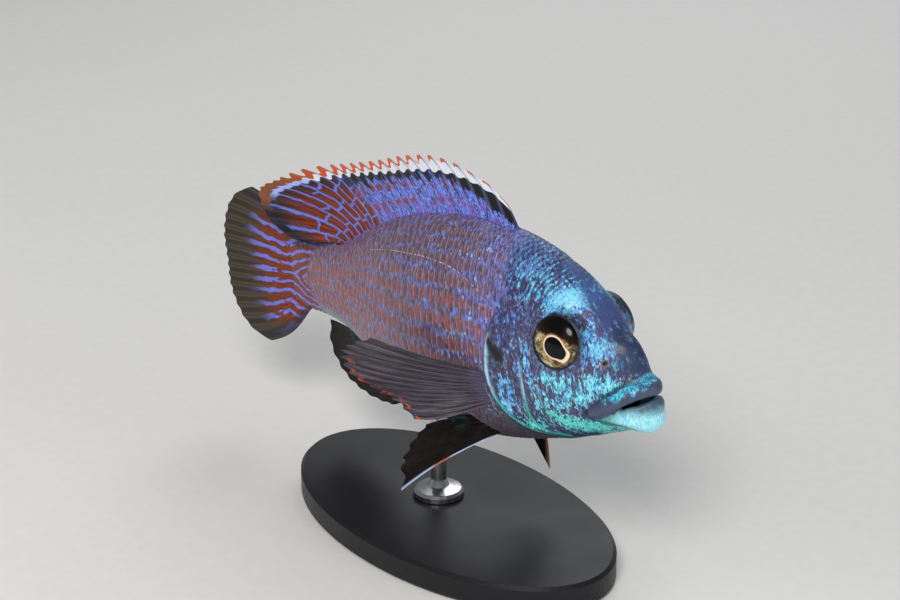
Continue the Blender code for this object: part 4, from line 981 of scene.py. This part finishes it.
def flank_colour(look, fish, lattice, place):
    """Violet-grey scales, each with an upright rust dash, violet-blue above and below it and a dark edge."""
    s, _, z = look.parts(fish)
    ahead, across, own = look.parts(lattice)
    around = look.parts(place)[0]
    wobble = look.noise(fish, 170, 2) - 0.5
    ahead = ahead + wobble * 0.22
    across = across + (look.noise(fish, 120, 1) - 0.5) * 0.16
    across = across + ((own * 5.7).fraction() - 0.5) * 0.22
    thinner = around.step(0.44, 0.22, 1.0, 1.55)
    stretch_a = (ahead - 0.5) * thinner * (3.5 + own * 1.4)
    stretch_b = across * (2.1 + (own * 7.3).fraction() * 1.1)
    oval = look.math("SQRT", abs(stretch_a) ** 2.6 + abs(stretch_b) ** 2.6)
    dash = oval.step(1.2, 0.5)
    front = s.step(0.4, 0.29)
    high = around.step(0.4, 0.2)
    faint = (own * 3.1).fraction().step(0.1, 0.35, 0.45, 1.0)
    fade = 1.0 - front * high * 0.45
    behind_gill = 1.0 - around.step(0.5, 0.56) * s.step(0.385, 0.345)
    dash = dash * faint * (fade * behind_gill * around.step(0.86, 0.7))
    warm = look.mix(s.step(0.38, 0.56), RUST, PINK_RUST)
    warm = look.layers(
        warm,
        ((s + look.noise(fish, 14, 1) * 0.2).step(0.84, 1.0), ORANGE),
        (around.step(0.4, 0.22), "#764838"),
        (own * 0.4, "#923428"))
    cloud = look.noise(fish, 24, 3)
    ground = look.mix(cloud, "#44364e", "#72627e")
    ground = look.mix(s.step(0.5, 0.8, 0.0, 0.5), ground, "#8a5c68")
    blue = look.mix(look.noise(fish, 90, 1), "#4c4eb0", "#7c8ae8")
    patchy = (look.noise(fish, 34, 2) + own * 0.4).step(0.66, 0.9)
    between = abs(across).step(0.24, 0.42) * abs(ahead - 0.5).step(0.55, 0.15)
    spread = look.most(between * patchy, front * around.step(0.6, 0.46, 0.15, 1.0)
            * look.noise(fish, 95, 3).step(0.42, 0.56))
    spread = look.most(spread, around.step(0.17, 0.06) * look.noise(fish, 100, 3).step(0.46, 0.62))
    ground = look.mix(spread * s.step(0.98, 0.6, 0.4, 0.95), ground, blue)
    under_gill = around.step(0.5, 0.6) * s.step(0.43, 0.35)
    ground = look.mix(under_gill * 0.8, ground, look.mix(cloud, "#322a32", "#5c505c"))
    peduncle = s.step(0.7, 0.84) * around.step(0.66, 0.84)
    ground = look.mix(peduncle * cloud.step(0.3, 0.6, 0.45, 0.9), ground, "#76a4b6")
    streaks = look.noise(look.stretch(fish, (2.6, 1.0, 0.5)), 150, 3, 0.65)
    ground = look.layers(
        ground,
        (streaks.step(0.5, 0.66, 0.0, 0.6), "#a4a8d4"),
        (streaks.step(0.49, 0.36, 0.0, 0.7), "#2c2842"))
    colour = look.mix(dash, ground, look.mix(streaks.step(0.3, 0.7), look.mix(0.3, warm, "#561e18"),
            look.mix(0.18, warm, "#e48250")))
    dark = ahead.step(0.16, 0.02)
    colour = look.mix(dark * 0.72, colour, "#302642")
    light = ahead.near(0.24, 0.13) * (1.0 - dash)
    colour = look.mix(light * 0.28, colour, "#a8acd0")
    glint = (look.cells(look.stretch(fish, (1.0, 1.0, 0.5)), 135).step(0.36, 0.18)
            * look.noise(fish, 13, 3).step(0.44, 0.58))
    glint = glint * s.step(0.62, 0.36, 0.05, 1.0)
    glint = glint * abs(across).step(0.14, 0.34, 0.15, 1.0)
    colour = look.mix(glint, colour, SKY)
    spread = 0.061 + (s - TAIL_END) * 0.337
    ray = 7.5 + z / spread * 7.5
    tail, _ = tail_colour(look, ray, (s - TAIL_END) * 3.7)
    start = s + abs(z) * 0.6 + (cloud - 0.5) * 0.03
    colour = look.mix(start.step(0.998, 1.012), colour, tail)
    belly = look.most(around.step(0.82, 0.92), around.step(0.68, 0.76) * s.step(0.4, 0.33))
    return look.mix(belly * 0.85, colour, look.mix(look.noise(fish, 60, 4, 0.7), "#2c262e", "#685c6a"))


def head_colour(look, fish):
    """Mauve skin under azure, turquoise and green flecks that run together into patches."""
    azure, teal, green = look.parts(look.read("flecks"))
    s, _, z = look.parts(fish)
    streaky = look.stretch(fish, (1.0, 1.0, 0.42))
    big = look.noise(fish, 26, 3, 0.55)
    mid = look.noise(look.stretch(fish, (1.0, 1.0, 0.6)), 50, 4, 0.62, 0.6)
    fleck = look.noise(streaky, 125, 3, 0.6, 0.5)
    fine = look.noise(streaky, 300, 3, 0.65, 0.3)
    colour = look.mix(big, "#3a3854", "#605e82")
    colour = look.mix(s.step(0.225, 0.27, 0.0, 0.55), colour, look.mix(z.step(-0.02, 0.08), "#262238", "#222e74"))
    rusty = mid.step(0.48, 0.6) * s.step(0.17, 0.25)
    colour = look.layers(
        colour,
        (rusty * 0.6, "#583846"),
        (fine.step(0.5, 0.38, 0.0, 0.6), "#1c1c2e"),
        (fine.step(0.52, 0.66, 0.0, 0.62), "#828ac8"))
    scatter = fleck.step(0.48, 0.64) * mid.step(0.34, 0.54)
    colour = look.mix(scatter * 0.8, colour, look.mix(fine.step(0.4, 0.6), "#3e64c6", "#82beff"))
    mottle = (mid - 0.5) * 1.7 + (fleck - 0.5) * 2.2
    for weight, tone, bright in ((green, "#1a8696", "#74f6f0"), (teal, "#2084c0", "#8cf4ff"),
            (azure, "#327ce8", "#84e0ff")):
        cover = weight * 0.62 + mottle
        patch = (cover + (fine - 0.5) * 0.8).step(0.24, 0.54) * weight.step(0.05, 0.3)
        lit = fine + (cover - 0.5) * 0.24
        colour = look.mix(patch * 0.94, colour, look.mix(lit.step(0.4, 0.62), tone, bright))
    sum_of = azure + teal + green
    # Painted highlights: small near-white glints over the flecked patches.
    speck_highlight = look.cells(look.stretch(fish, (1.0, 1.0, 0.5)), 150).step(0.3, 0.12) * mid.step(0.42, 0.54)
    colour = look.mix(speck_highlight * sum_of.step(0.0, 0.8, 0.3, 1.0), colour, "#cef6ff")
    from_s, from_z = s - 0.15, z - 0.085
    off = look.math("SQRT", from_s * from_s + from_z * from_z)
    arc = off * (1 / 0.0088) + (look.noise(fish, 60, 2) - 0.5) * 1.5
    arc = arc.fraction().near(0.5, 0.4)
    arc = arc * off.step(0.03, 0.052) * (z.step(0.085, 0.12) * s.step(0.31, 0.27))
    colour = look.mix(arc * 0.72, colour, "#222448")
    pits = look.cells(fish, 150).step(0.48, 0.66) * look.noise(fish, 12, 1).step(0.4, 0.6, 0.1, 0.4)
    return look.mix(pits, colour, "#24284c"), mid, fine, big


def scale_look():
    look = Look("flank_scales", Specular_IOR_Level=0.5, Coat_Weight=0.25, Coat_Roughness=0.2, Metallic=0.05)
    fish, lattice, place = look.read("fish"), look.read("lattice"), look.read("round")
    flank = flank_colour(look, fish, lattice, place)
    head, mid, _, _ = head_colour(look, fish)
    ahead, across, _ = look.parts(lattice)
    head = look.layers(
        head,
        (ahead.near(0.45, 0.34) * 0.42, look.mix(mid, "#465cd0", "#70befc")),
        (ahead.step(0.22, 0.04) * 0.6, "#2c284e"))
    _, dark, trunk = look.parts(look.read("lines"))
    share = (trunk + (mid - 0.5) * 0.9).step(0.3, 0.7)
    # dark is painted shade on the scales just behind the gill cover's edge.
    colour = look.mix(dark, look.mix(share, head, flank), BLACK)
    rings = look.math("SINE", ahead * 62.0)
    spokes = look.math("SINE", across * 90.0)
    height = rings * 0.22 + (spokes * ahead.step(0.2, 0.9) * 0.2 + look.noise(fish, 420, 3))
    rough = 0.3 + look.noise(fish, 160, 2) * 0.24
    return look.finish(colour, rough, height, 9e-05, 0.7)


def skin_look():
    """The head's skin, grooves and lips, with painted shade in the grooves, round the eyes, in the nostrils and inside
    the mouth; the trunk's markings go on under the scales.
    """
    look = Look("fish_skin", Specular_IOR_Level=0.4, Coat_Weight=0.22, Coat_Roughness=0.24, Metallic=0.03)
    fish = look.read("fish")
    line, dark, trunk = look.parts(look.read("lines"))
    upper, lower, high = look.parts(look.read("lips"))
    ridge, throat, mouth = look.parts(look.read("tones"))
    place = look.read("round")
    _, off_eye, off_nostril = look.parts(place)
    s, _, z = look.parts(fish)
    colour, mid, fine, big = head_colour(look, fish)
    fleck = look.noise(look.stretch(fish, (1.0, 1.0, 0.5)), 120, 3, 0.6)
    ridge_tone = look.mix(big, "#2a365e", "#4862a4")
    ridge_tone = look.mix(s.step(0.105, 0.08), ridge_tone, look.mix(big, "#142034", "#284062"))
    colour = look.layers(
        colour,
        (ridge * fleck.step(0.66, 0.5, 0.45, 0.96), ridge_tone),
        (throat * 0.85, look.mix(mid, "#121826", "#2e445c")))
    share = (trunk + (mid - 0.5) * 0.9).step(0.3, 0.7)
    colour = look.mix(share, colour, flank_colour(look, fish, look.read("lattice"), place))
    line_tone = look.mix(z.step(-0.1, -0.05), "#38beb6", look.mix(fine, "#6eccff", "#e2faff"))
    colour = look.mix(line * fleck.step(0.36, 0.5, 0.55, 1.0), colour, line_tone)
    lip_dark = look.mix(mid, "#2c304a", "#566484")
    sheen = high + (mid - 0.5) * 2.6 + (s.step(0.11, 0.06, -0.35, 0.0) + s.step(0.0275, 0.022, 0.0, -1.6))
    upper_tone = look.mix(sheen.step(-0.15, 0.35), lip_dark, look.mix(fine.step(0.4, 0.62), "#186a9a", "#60dcf4"))
    colour = look.mix(upper, colour, upper_tone)
    pale = ((mid - 0.5) * 0.8 + high).step(0.75, -0.15)
    lower_tone = look.mix(pale, "#425a72", look.mix(fine.step(0.3, 0.72), "#7cd4ee", "#c0ffff"))
    lower_tone = look.mix(s.step(0.062, 0.095), lower_tone, look.mix(mid, "#2e6474", "#68ccbe"))
    colour = look.layers(
        colour,
        (lower, lower_tone),
        # painted shade behind the gill cover's edge, in the grooves round the lips and on the eyes' front-upper rims,
        # with the gill cover's own dark spot
        (dark, BLACK),
        (off_nostril.step(0.008, 0.0055), "#70647a"),
        # painted shade in the nostril pit
        (off_nostril.step(0.0046, 0.0034), BLACK),
        # painted shade inside the open mouth
        (mouth, "#100a0c"))
    # Painted shade: a thin dark ring in the gap where the skin meets each eyeball.
    rim = off_eye.step(0.0486, 0.0472)
    colour = look.mix(rim * (1.0 - trunk), colour, "#14111a")
    scalloped = look.cells(fish, 85, "DISTANCE_TO_EDGE").step(0.0, 0.16) * upper.step(0.4, 0.0)
    height = look.noise(fish, 480, 3) * 0.6 + (mid * 0.6 + scalloped * 0.35)
    rough = 0.28 + mid * 0.26 + ridge * 0.14
    return look.finish(colour, rough, height, 0.00018, 0.6)


def fin_frame(look):
    u, w, crest = look.parts(look.read("fin"))
    return u, w, crest, look.read("fish")


def dorsal_look():
    look = Look("dorsal_skin", Coat_Weight=0.12, Coat_Roughness=0.24, Specular_IOR_Level=0.22)
    u, w, crest, _ = fin_frame(look)
    grid = look.value(0, "CombineXYZ", {0: u, 1: w * 7.0})
    warp = look.noise(grid, 1.1, 2) - 0.5
    streak = look.noise(look.stretch(grid, (4.0, 0.55, 1.0)), 1.0, 3, 0.6)
    behind = u.fraction()
    ground = look.mix(streak.step(0.4, 0.58), "#302e70", "#6074e2")
    sparkle = look.noise(look.stretch(grid, (5.0, 1.3, 1.0)), 1.7, 3, 0.6)
    ground = look.mix(sparkle.step(0.5, 0.62), ground, "#8aa8fa")
    violet = look.noise(grid, 0.9, 2).step(0.45, 0.62) * w.step(0.45, 0.15)
    ground = look.mix(violet * 0.6, ground, "#8450a8")
    spots = []
    for height, long, strong in ((0.22, 0.06, 0.75), (0.52, 0.085, 0.95)):
        lane = w - (height + warp * 0.2)
        spots.append(abs(lane).step(long, long * 0.5) * behind.near(0.5, 0.42) * strong)
    blotch = look.most(*spots) * (u.step(3.0, 5.5) * look.noise(grid, 0.9, 0).step(0.4, 0.5))
    ground = look.mix(blotch, ground, look.mix(streak, "#602222", "#9e3832"))
    black_from = u.step(0.0, 6.0, 0.1, 0.6) + (streak - 0.5) * 0.75
    black = (w - black_from).step(-0.02, 0.05) * (u + warp * 2.0).step(18.5, 14.5)
    black = look.most(black, w.step(0.7, 0.76) * u.step(17.0, 14.5))
    ground = look.mix(black, ground, look.mix(streak.step(0.5, 0.75), "#060508", "#281a22"))
    lanes = look.math("MINIMUM", u, 18.5) + look.math("MAXIMUM", u - 18.5, 0.0) * 0.66
    lane_u = lanes + warp * 0.4
    odd = (look.math("FLOOR", lane_u) * 0.5).fraction()
    phase = w ** 0.75 * 3.9 + (odd * 0.5 + warp * 0.3)
    cross = abs(phase.fraction() - 0.5).step(0.41, 0.47)
    cross = cross * (w + u.step(22.5, 17.0, 0.0, -0.5)).step(0.46, 0.4)
    between = abs(lane_u.fraction() - 0.5).step(0.36, 0.45)
    net = look.most(cross, between)
    block = look.mix(streak.step(0.32, 0.66), "#421400", "#923200")
    block = look.mix(w.step(0.42, 0.88), block, "#2c1c06")
    rim = net.step(0.05, 0.45) * net.step(0.98, 0.55)
    block = look.mix(rim * 0.85, block, "#100918")
    soft_tone = look.mix(net, block, look.mix(streak, "#3a40a8", "#889af4"))
    soft = (u + warp * 2.0 + w * -1.2).step(14.2, 15.4)
    colour = look.mix(soft * black.step(0.9, 0.4), ground, soft_tone)
    slant = w - (behind - 0.5) * 0.05
    apart = abs(behind - 0.5).step(0.495, 0.44)
    white_from = u.step(0.0, 16.0, 0.7, 0.82)
    white = (slant - white_from).step(0.0, 0.015) * u.step(21.0, 17.5)
    white = white * (0.15 + apart * 0.85)
    colour = look.mix(white, colour, look.mix(look.noise(grid, 3.0, 2), "#ccd6ec", "#faf8f8"))
    blue_lip = w.near(0.86, 0.05) * u.step(17.5, 19.0) * u.step(23.5, 22.0)
    colour = look.mix(blue_lip, colour, "#a6b4fa")
    orange_from = u.step(4.0, 19.0, 0.93, 0.885)
    tips = (slant - orange_from).step(0.0, 0.015)
    orange = tips * u.step(25.2, 24.4) * look.most(u.step(5.0, 8.0), behind.step(0.64, 0.48))
    colour = look.mix(orange, colour, look.mix(u.step(14.0, 21.0), look.mix(streak, "#c4460e", "#ec641e"),
            look.mix(streak, "#683a16", "#a0581c")))
    ends = look.most((w + warp * 0.25).step(0.74, 0.86) * u.step(23.2, 24.6), u.step(26.3, 26.8))
    colour = look.layers(
        colour,
        (ends, "#140d16"),
        (crest * u.step(15.5, 17.0, 0.22, 0.05), "#96aaeb"))
    joints = look.math("SINE", w * 240.0)
    height = crest * 0.6 + (joints * crest * 0.2 + streak * 0.8)
    return look.finish(colour, 0.32 + streak * 0.25, height, 0.00016, 0.6)


def tail_colour(look, u, w):
    """Rust between violet-blue lines that bend to the middle near the root and fade into a dusky margin."""
    grid = look.value(0, "CombineXYZ", {0: u, 1: w * 9.0})
    warp = look.noise(grid, 0.75, 2) - 0.5
    streak = look.noise(look.stretch(grid, (6.0, 0.8, 1.0)), 1.0, 3, 0.6)
    out = abs(u - 7.3)
    knee = 0.17 + out * 0.03
    turn = look.math("MAXIMUM", knee - w, 0.0) * 7.5
    phase = out * 0.72 - turn + warp * 0.75
    wave = abs(phase.fraction() - 0.5)
    blue = wave.step(0.29, 0.38)
    blue = blue * (w + (streak - 0.5) * 0.34).step(0.88, 0.62)
    gaps = look.noise(look.stretch(grid, (1.0, 0.6, 1.0)), 1.3, 1).step(0.3, 0.37)
    blue = blue * gaps
    rust = look.mix(streak.step(0.3, 0.7), "#501c02", "#983c08")
    rust = look.mix(w.step(0.34, 0.78), rust, "#3c2a0e")
    edge = blue.step(0.05, 0.45) * blue.step(0.98, 0.6)
    rust = look.mix(edge * 0.55, rust, "#2e1622")
    tone = look.mix(streak, "#5452c2", "#8e98f6")
    tone = look.mix(w.step(0.5, 0.85), tone, "#4e4e74")
    colour = look.mix(blue, rust, tone)
    outer = (w + warp * 0.3).step(0.58, 0.88)
    colour = look.mix(outer * 0.92, colour, look.mix(streak, "#161208", "#362e1a"))
    sides = out.step(6.0, 7.0)
    return look.mix(sides * w.step(0.0, 0.1, 0.0, 0.88), colour, "#242026"), streak


def caudal_look():
    look = Look("caudal_skin", Coat_Weight=0.12, Coat_Roughness=0.24, Specular_IOR_Level=0.22)
    u, w, crest, _ = fin_frame(look)
    colour, streak = tail_colour(look, u, w)
    colour = look.mix(crest * w.step(0.4, 0.8, 0.06, 0.32), colour, "#6a6256")
    joints = look.math("SINE", w * 260.0)
    height = crest * 0.5 + (joints * crest * 0.18 + streak * 0.6)
    return look.finish(colour, 0.36 + streak * 0.25, height, 0.00014, 0.6)


def dark_fin_look(name, base, ray, lead, tip, warm):
    """Dusky fins: a dark web with paler rays, a pale leading edge and, on some, warm tips."""
    look = Look(name, Coat_Weight=0.08 if warm else 0.02, Coat_Roughness=0.28, Specular_IOR_Level=0.18
            if warm else 0.1)
    u, w, crest, fish = fin_frame(look)
    grid = look.value(0, "CombineXYZ", {0: u, 1: w * 9.0})
    streak = look.noise(look.stretch(grid, (5.0, 0.35, 1.0)), 1.3, 3, 0.6)
    hairs = look.noise(look.stretch(grid, (11.0, 0.22, 1.0)), 1.0, 3, 0.8)
    patch = look.noise(grid, 0.7, 2)
    colour = look.mix(streak, base, tip)
    colour = look.mix(patch.step(0.45, 0.65) * 0.35, colour, "#32221c")
    lit = crest * w.step(1.0, 0.2, 0.25, 0.45) + hairs.step(0.5, 0.6) * 0.7
    colour = look.mix(look.math("MINIMUM", lit, 0.85), colour, ray)
    if lead:
        edge = u.step(0.17, 0.05)
        edge_tone = look.mix(w.near(0.52, 0.12), "#baccf4", "#c47450")
        edge_tone = look.mix(look.parts(fish)[1].step(0.05, 0.06), edge_tone, "#96704a")
        shine = w.near(0.24, 0.2) * (u.step(2.6, 4.2) * patch.step(0.46, 0.6))
        colour = look.layers(
            colour,
            (shine * 0.5, "#1a605c"),
            (edge * w.step(0.02, 0.16), edge_tone))
    if warm:
        colour = look.mix((w + (patch - 0.5) * 0.14).step(0.11, 0.01, 0.0, 0.6) * hairs.step(0.4, 0.6, 0.2, 1.0),
                colour, look.mix(patch, "#564e68", "#8882b0"))
        spots = look.noise(grid, 1.3, 1).step(0.52, 0.6) * (w.step(0.84, 0.93) * u.step(2.5, 4.5))
        colour = look.mix(spots * 0.85, colour, "#c45424")
    joints = look.math("SINE", w * 230.0)
    height = crest * 0.5 + (joints * crest * 0.2 + streak * 0.6)
    return look.finish(colour, 0.34 + streak * 0.25, height, 0.00014, 0.6)


def eye_look():
    look = Look("eye_surface", Coat_Weight=0.5, Coat_Roughness=0.02, Coat_IOR=1.36, Specular_IOR_Level=0.1)
    eye = look.read("eye")
    ahead, up, _ = look.parts(eye)
    dx, dy = ahead + -0.1, up + 0.15
    lean = dx - dy * -0.12
    radius = look.math("SQRT", lean * lean + dy * dy)
    point = dx.step(0.02, 0.34) * dy.step(0.12, -0.2)
    radius = radius - point * 0.1
    spokes = look.noise(look.stretch(eye, (1.0, 1.0, 0.3)), 7.0, 4, 0.65, 1.2)
    smudge = look.noise(eye, 2.3, 3, 0.6, 0.7)
    iris = look.mix(spokes.step(0.34, 0.64), "#4a361a", "#c4b680")
    iris = look.layers(
        iris,
        (smudge.step(0.46, 0.62, 0.0, 0.85), "#1e140e"),
        (smudge.step(0.44, 0.34) * radius.step(0.5, 0.8), "#e2e2c4"),
        (radius.step(0.5, 0.44) * 0.8, "#b0704a"))
    half = 0.04 + point * 0.036
    off_ring = abs(radius - (0.408 + point * 0.034))
    iris = look.layers(
        iris,
        (off_ring.step(half, half * 0.45), "#ffdec0"),
        (look.math("SQRT", ahead * ahead + up * up).step(0.84, 0.97), "#1c1816"))
    shade = up + ahead * 0.25 + (smudge - 0.5) * 0.35
    upper = shade.step(0.06, 0.3) * radius.step(0.43, 0.52)
    iris = look.mix(upper, iris, look.mix(shade.step(0.2, 0.6), "#28160c", "#050405"))
    colour = look.mix(radius.step(0.388, 0.372), iris, "#020409")
    return look.finish(colour, 0.14 + spokes * 0.15, spokes, 5e-05, 0.25)


def lateral_look():
    look = Look("lateral_tubes", Coat_Weight=0.4, Coat_Roughness=0.15)
    fish = look.read("fish")
    fleck = look.noise(fish, 160, 3)
    colour = look.mix(fleck.step(0.4, 0.6), "#806a82", "#d4becc")
    return look.finish(colour, 0.25 + fleck * 0.2, fleck, 8e-05, 0.4)


def lacquer_look():
    look = Look("base_lacquer", Coat_Weight=0.08, Coat_Roughness=0.34, Specular_IOR_Level=0.25)
    where = look.value("Object", "TexCoord")
    cloud = look.noise(where, 60, 3)
    peel = look.noise(where, 900, 2)
    dust = look.noise(where, 2600, 1).step(0.72, 0.8)
    colour = look.mix(cloud, "#141417", "#202024")
    colour = look.mix(dust * 0.25, colour, "#78787a")
    return look.finish(colour, 0.36 + cloud * 0.22, peel + dust * 0.6, 6e-05, 0.35)


def steel_look():
    look = Look("rod_steel", Metallic=1.0, Anisotropic=0.4)
    where = look.value("Object", "TexCoord")
    turned = look.noise(look.stretch(where, (300.0, 300.0, 5200.0)), 1.0, 3, 0.6)
    cloud = look.noise(where, 140, 2)
    colour = look.mix(turned, "#b2b2b6", "#d6d6d9")
    colour = look.mix(cloud.step(0.45, 0.75, 0.0, 0.35), colour, "#96969c")
    return look.finish(colour, 0.2 + turned * 0.22, turned, 3e-05, 0.4)


# ---- pieces ----

def make_eye(side, word):
    s, y, z = EYE_CENTRE
    obj = ball(f"eyeball_{word}", (s, side * y, z), (EYE_RADIUS - 0.0006, EYE_RADIUS - 0.0006, EYE_DEPTH - 0.0004),
            eye_turn(side), 96, 64)
    points = coordinates(obj.data)
    turn = np.array(eye_turn(side).to_3x3())
    local = (points - metres((s, side * y, z))) @ turn / (EYE_RADIUS * STANDARD_LENGTH)
    out = turn[:, 2]
    up = np.array([0, 0, 1.0]) - out * out[2]
    up /= np.linalg.norm(up)
    ahead = np.array([1.0, 0, 0]) - out * out[0]
    ahead -= up * (ahead @ up)
    ahead /= np.linalg.norm(ahead)
    world = local @ turn.T
    note(obj, "eye", stack(world @ ahead, world @ up, world @ out))
    set_coordinates(obj.data, swim(points))
    obj.data.shade_smooth()
    return obj


def place(obj, material, slot, *nodes):
    obj.data.materials.clear()
    obj.data.materials.append(material)
    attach(obj, "root")
    if nodes:
        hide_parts(*nodes)


skin = make_skin()
dress_skin(skin)
place(skin, skin_look(), "head_skin", "head", "lower_jaw", "torso", "tail_stem")

scales = scale_look()
for side, word in ((-1, "right"), (1, "left")):
    place(make_scales(f"scales_{word}", scale_roots(side)), scales, "body_scales")
    place(make_scales(f"small_scales_{word}", small_roots(side), 5, 7), scales, "body_scales")
place(make_lateral_line(), lateral_look(), "body_scales")

dorsal = make_fin("dorsal_rays", dorsal_point, SPINES + SOFT_RAYS, SPINES, 0.0014, 0.0009, 0.0052, 46, -0.16, 14)
place(dorsal, dorsal_look(), "dorsal_membrane", "dorsal_fin")
caudal = make_fin("caudal_rays", caudal_point, CAUDAL_RAYS, 1, 0.0012, 0.0009, 0.006, 52, -0.06, 16)
place(caudal, caudal_look(), "caudal_membrane", "caudal_fin")
anal = make_fin("anal_rays", anal_point, ANAL_RAYS, ANAL_SPINES, 0.0014, 0.0009, 0.0052, 34, -0.16, 14)
dusky = dark_fin_look("dusky_fin", "#070505", "#1c1615", True, "#0f0b0a", False)
place(anal, dusky, "dark_membrane", "anal_fin")
clear = dark_fin_look("clear_fin", "#1a161a", "#706a78", False, "#322c32", True)
for side, word in ((-1, "right"), (1, "left")):
    obj = make_fin(f"pectoral_rays_{word}", pectoral_point(side), PECTORAL_RAYS, 1, 0.0012, 0.0008, 0.005, 44,
            -0.08, 16)
    place(obj, clear, "pectoral_membrane", f"pectoral_fin_{word}")
for side, word, tips, bow in ((-1, "right", RIGHT_PELVIC_TIPS, (0.0, 0.01, 0.008)),
        (1, "left", LEFT_PELVIC_TIPS, (0.01, 0.024, 0.026))):
    obj = make_fin(f"pelvic_rays_{word}", pelvic_point(side, tips, bow), PELVIC_RAYS, 1, 0.0014, 0.001, 0.0052, 40,
            -0.1, 20)
    place(obj, dusky, "dark_membrane", f"pelvic_fin_{word}")

eye = eye_look()
for side, word in ((-1, "right"), (1, "left")):
    place(make_eye(side, word), eye, "eye", f"eye_{word}")

for node, material in (("stand_base", lacquer_look()), ("stand_rod", steel_look())):
    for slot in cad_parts[node].material_slots:
        slot.material = material

# ---- floor, lights and camera ----

bpy.context.scene.view_settings.view_transform = "Standard"
bpy.ops.mesh.primitive_grid_add(x_subdivisions=4, y_subdivisions=4, size=60.0, location=(0, 0, 0))
floor = bpy.context.object
floor.name = "floor"
paper = Look("floor_paper", Specular_IOR_Level=0.2)
where = paper.value("Object", "TexCoord")
tooth = paper.noise(where, 240, 4)
floor.data.materials.append(paper.finish(paper.mix(tooth, "#e8e7e4", "#f0efec"), 0.75 + tooth * 0.1, tooth, 0.0002,
        0.3))


def soft_light(name, at, target, size, watts, colour, mirrored):
    data = bpy.data.lights.new(name, "AREA")
    data.shape, data.size, data.energy, data.color = "DISK", size, watts, colour
    obj = add_object(name, data)
    obj.visible_glossy = mirrored
    obj.location = at
    obj.rotation_euler = (Vector(target) - Vector(at)).to_track_quat("-Z", "Y").to_euler()


soft_light("key", (0.55, -0.62, 0.75), (0, 0, 0.06), 0.42, 6.4, (1.0, 0.98, 0.95), True)
soft_light("fill", (0.75, 0.1, 0.35), (0, 0, 0.07), 0.6, 1.7, (0.94, 0.97, 1.0), False)
soft_light("back", (-0.55, 0.6, 0.7), (0, 0, 0.07), 0.6, 2.6, (0.96, 0.98, 1.0), True)
soft_light("side", (-0.5, -0.6, 0.35), (0, 0, 0.07), 0.5, 1.7, (1.0, 0.98, 0.96), False)

world = bpy.data.worlds.new("studio")
bpy.context.scene.world = world
world.use_nodes = True
world.node_tree.nodes["Background"].inputs[0].default_value = 0.8, 0.82, 0.86, 1.0
world.node_tree.nodes["Background"].inputs[1].default_value = 0.24

camera_data = bpy.data.cameras.new("camera")
camera_data.lens, camera_data.sensor_width = 100.0, 36.0
camera_data.clip_start, camera_data.clip_end = 0.01, 20.0
camera = add_object("camera", camera_data)
right, up, back = (0.60082, 0.79939, 0.00013), (-0.29188, 0.21923, 0.93099), (0.74419, -0.55939, 0.36504)
turned = Matrix((right, up, back)).transposed().to_4x4()
turned.translation = 0.52701, -0.39733, 0.33042
camera.matrix_world = turned
bpy.context.scene.camera = camera
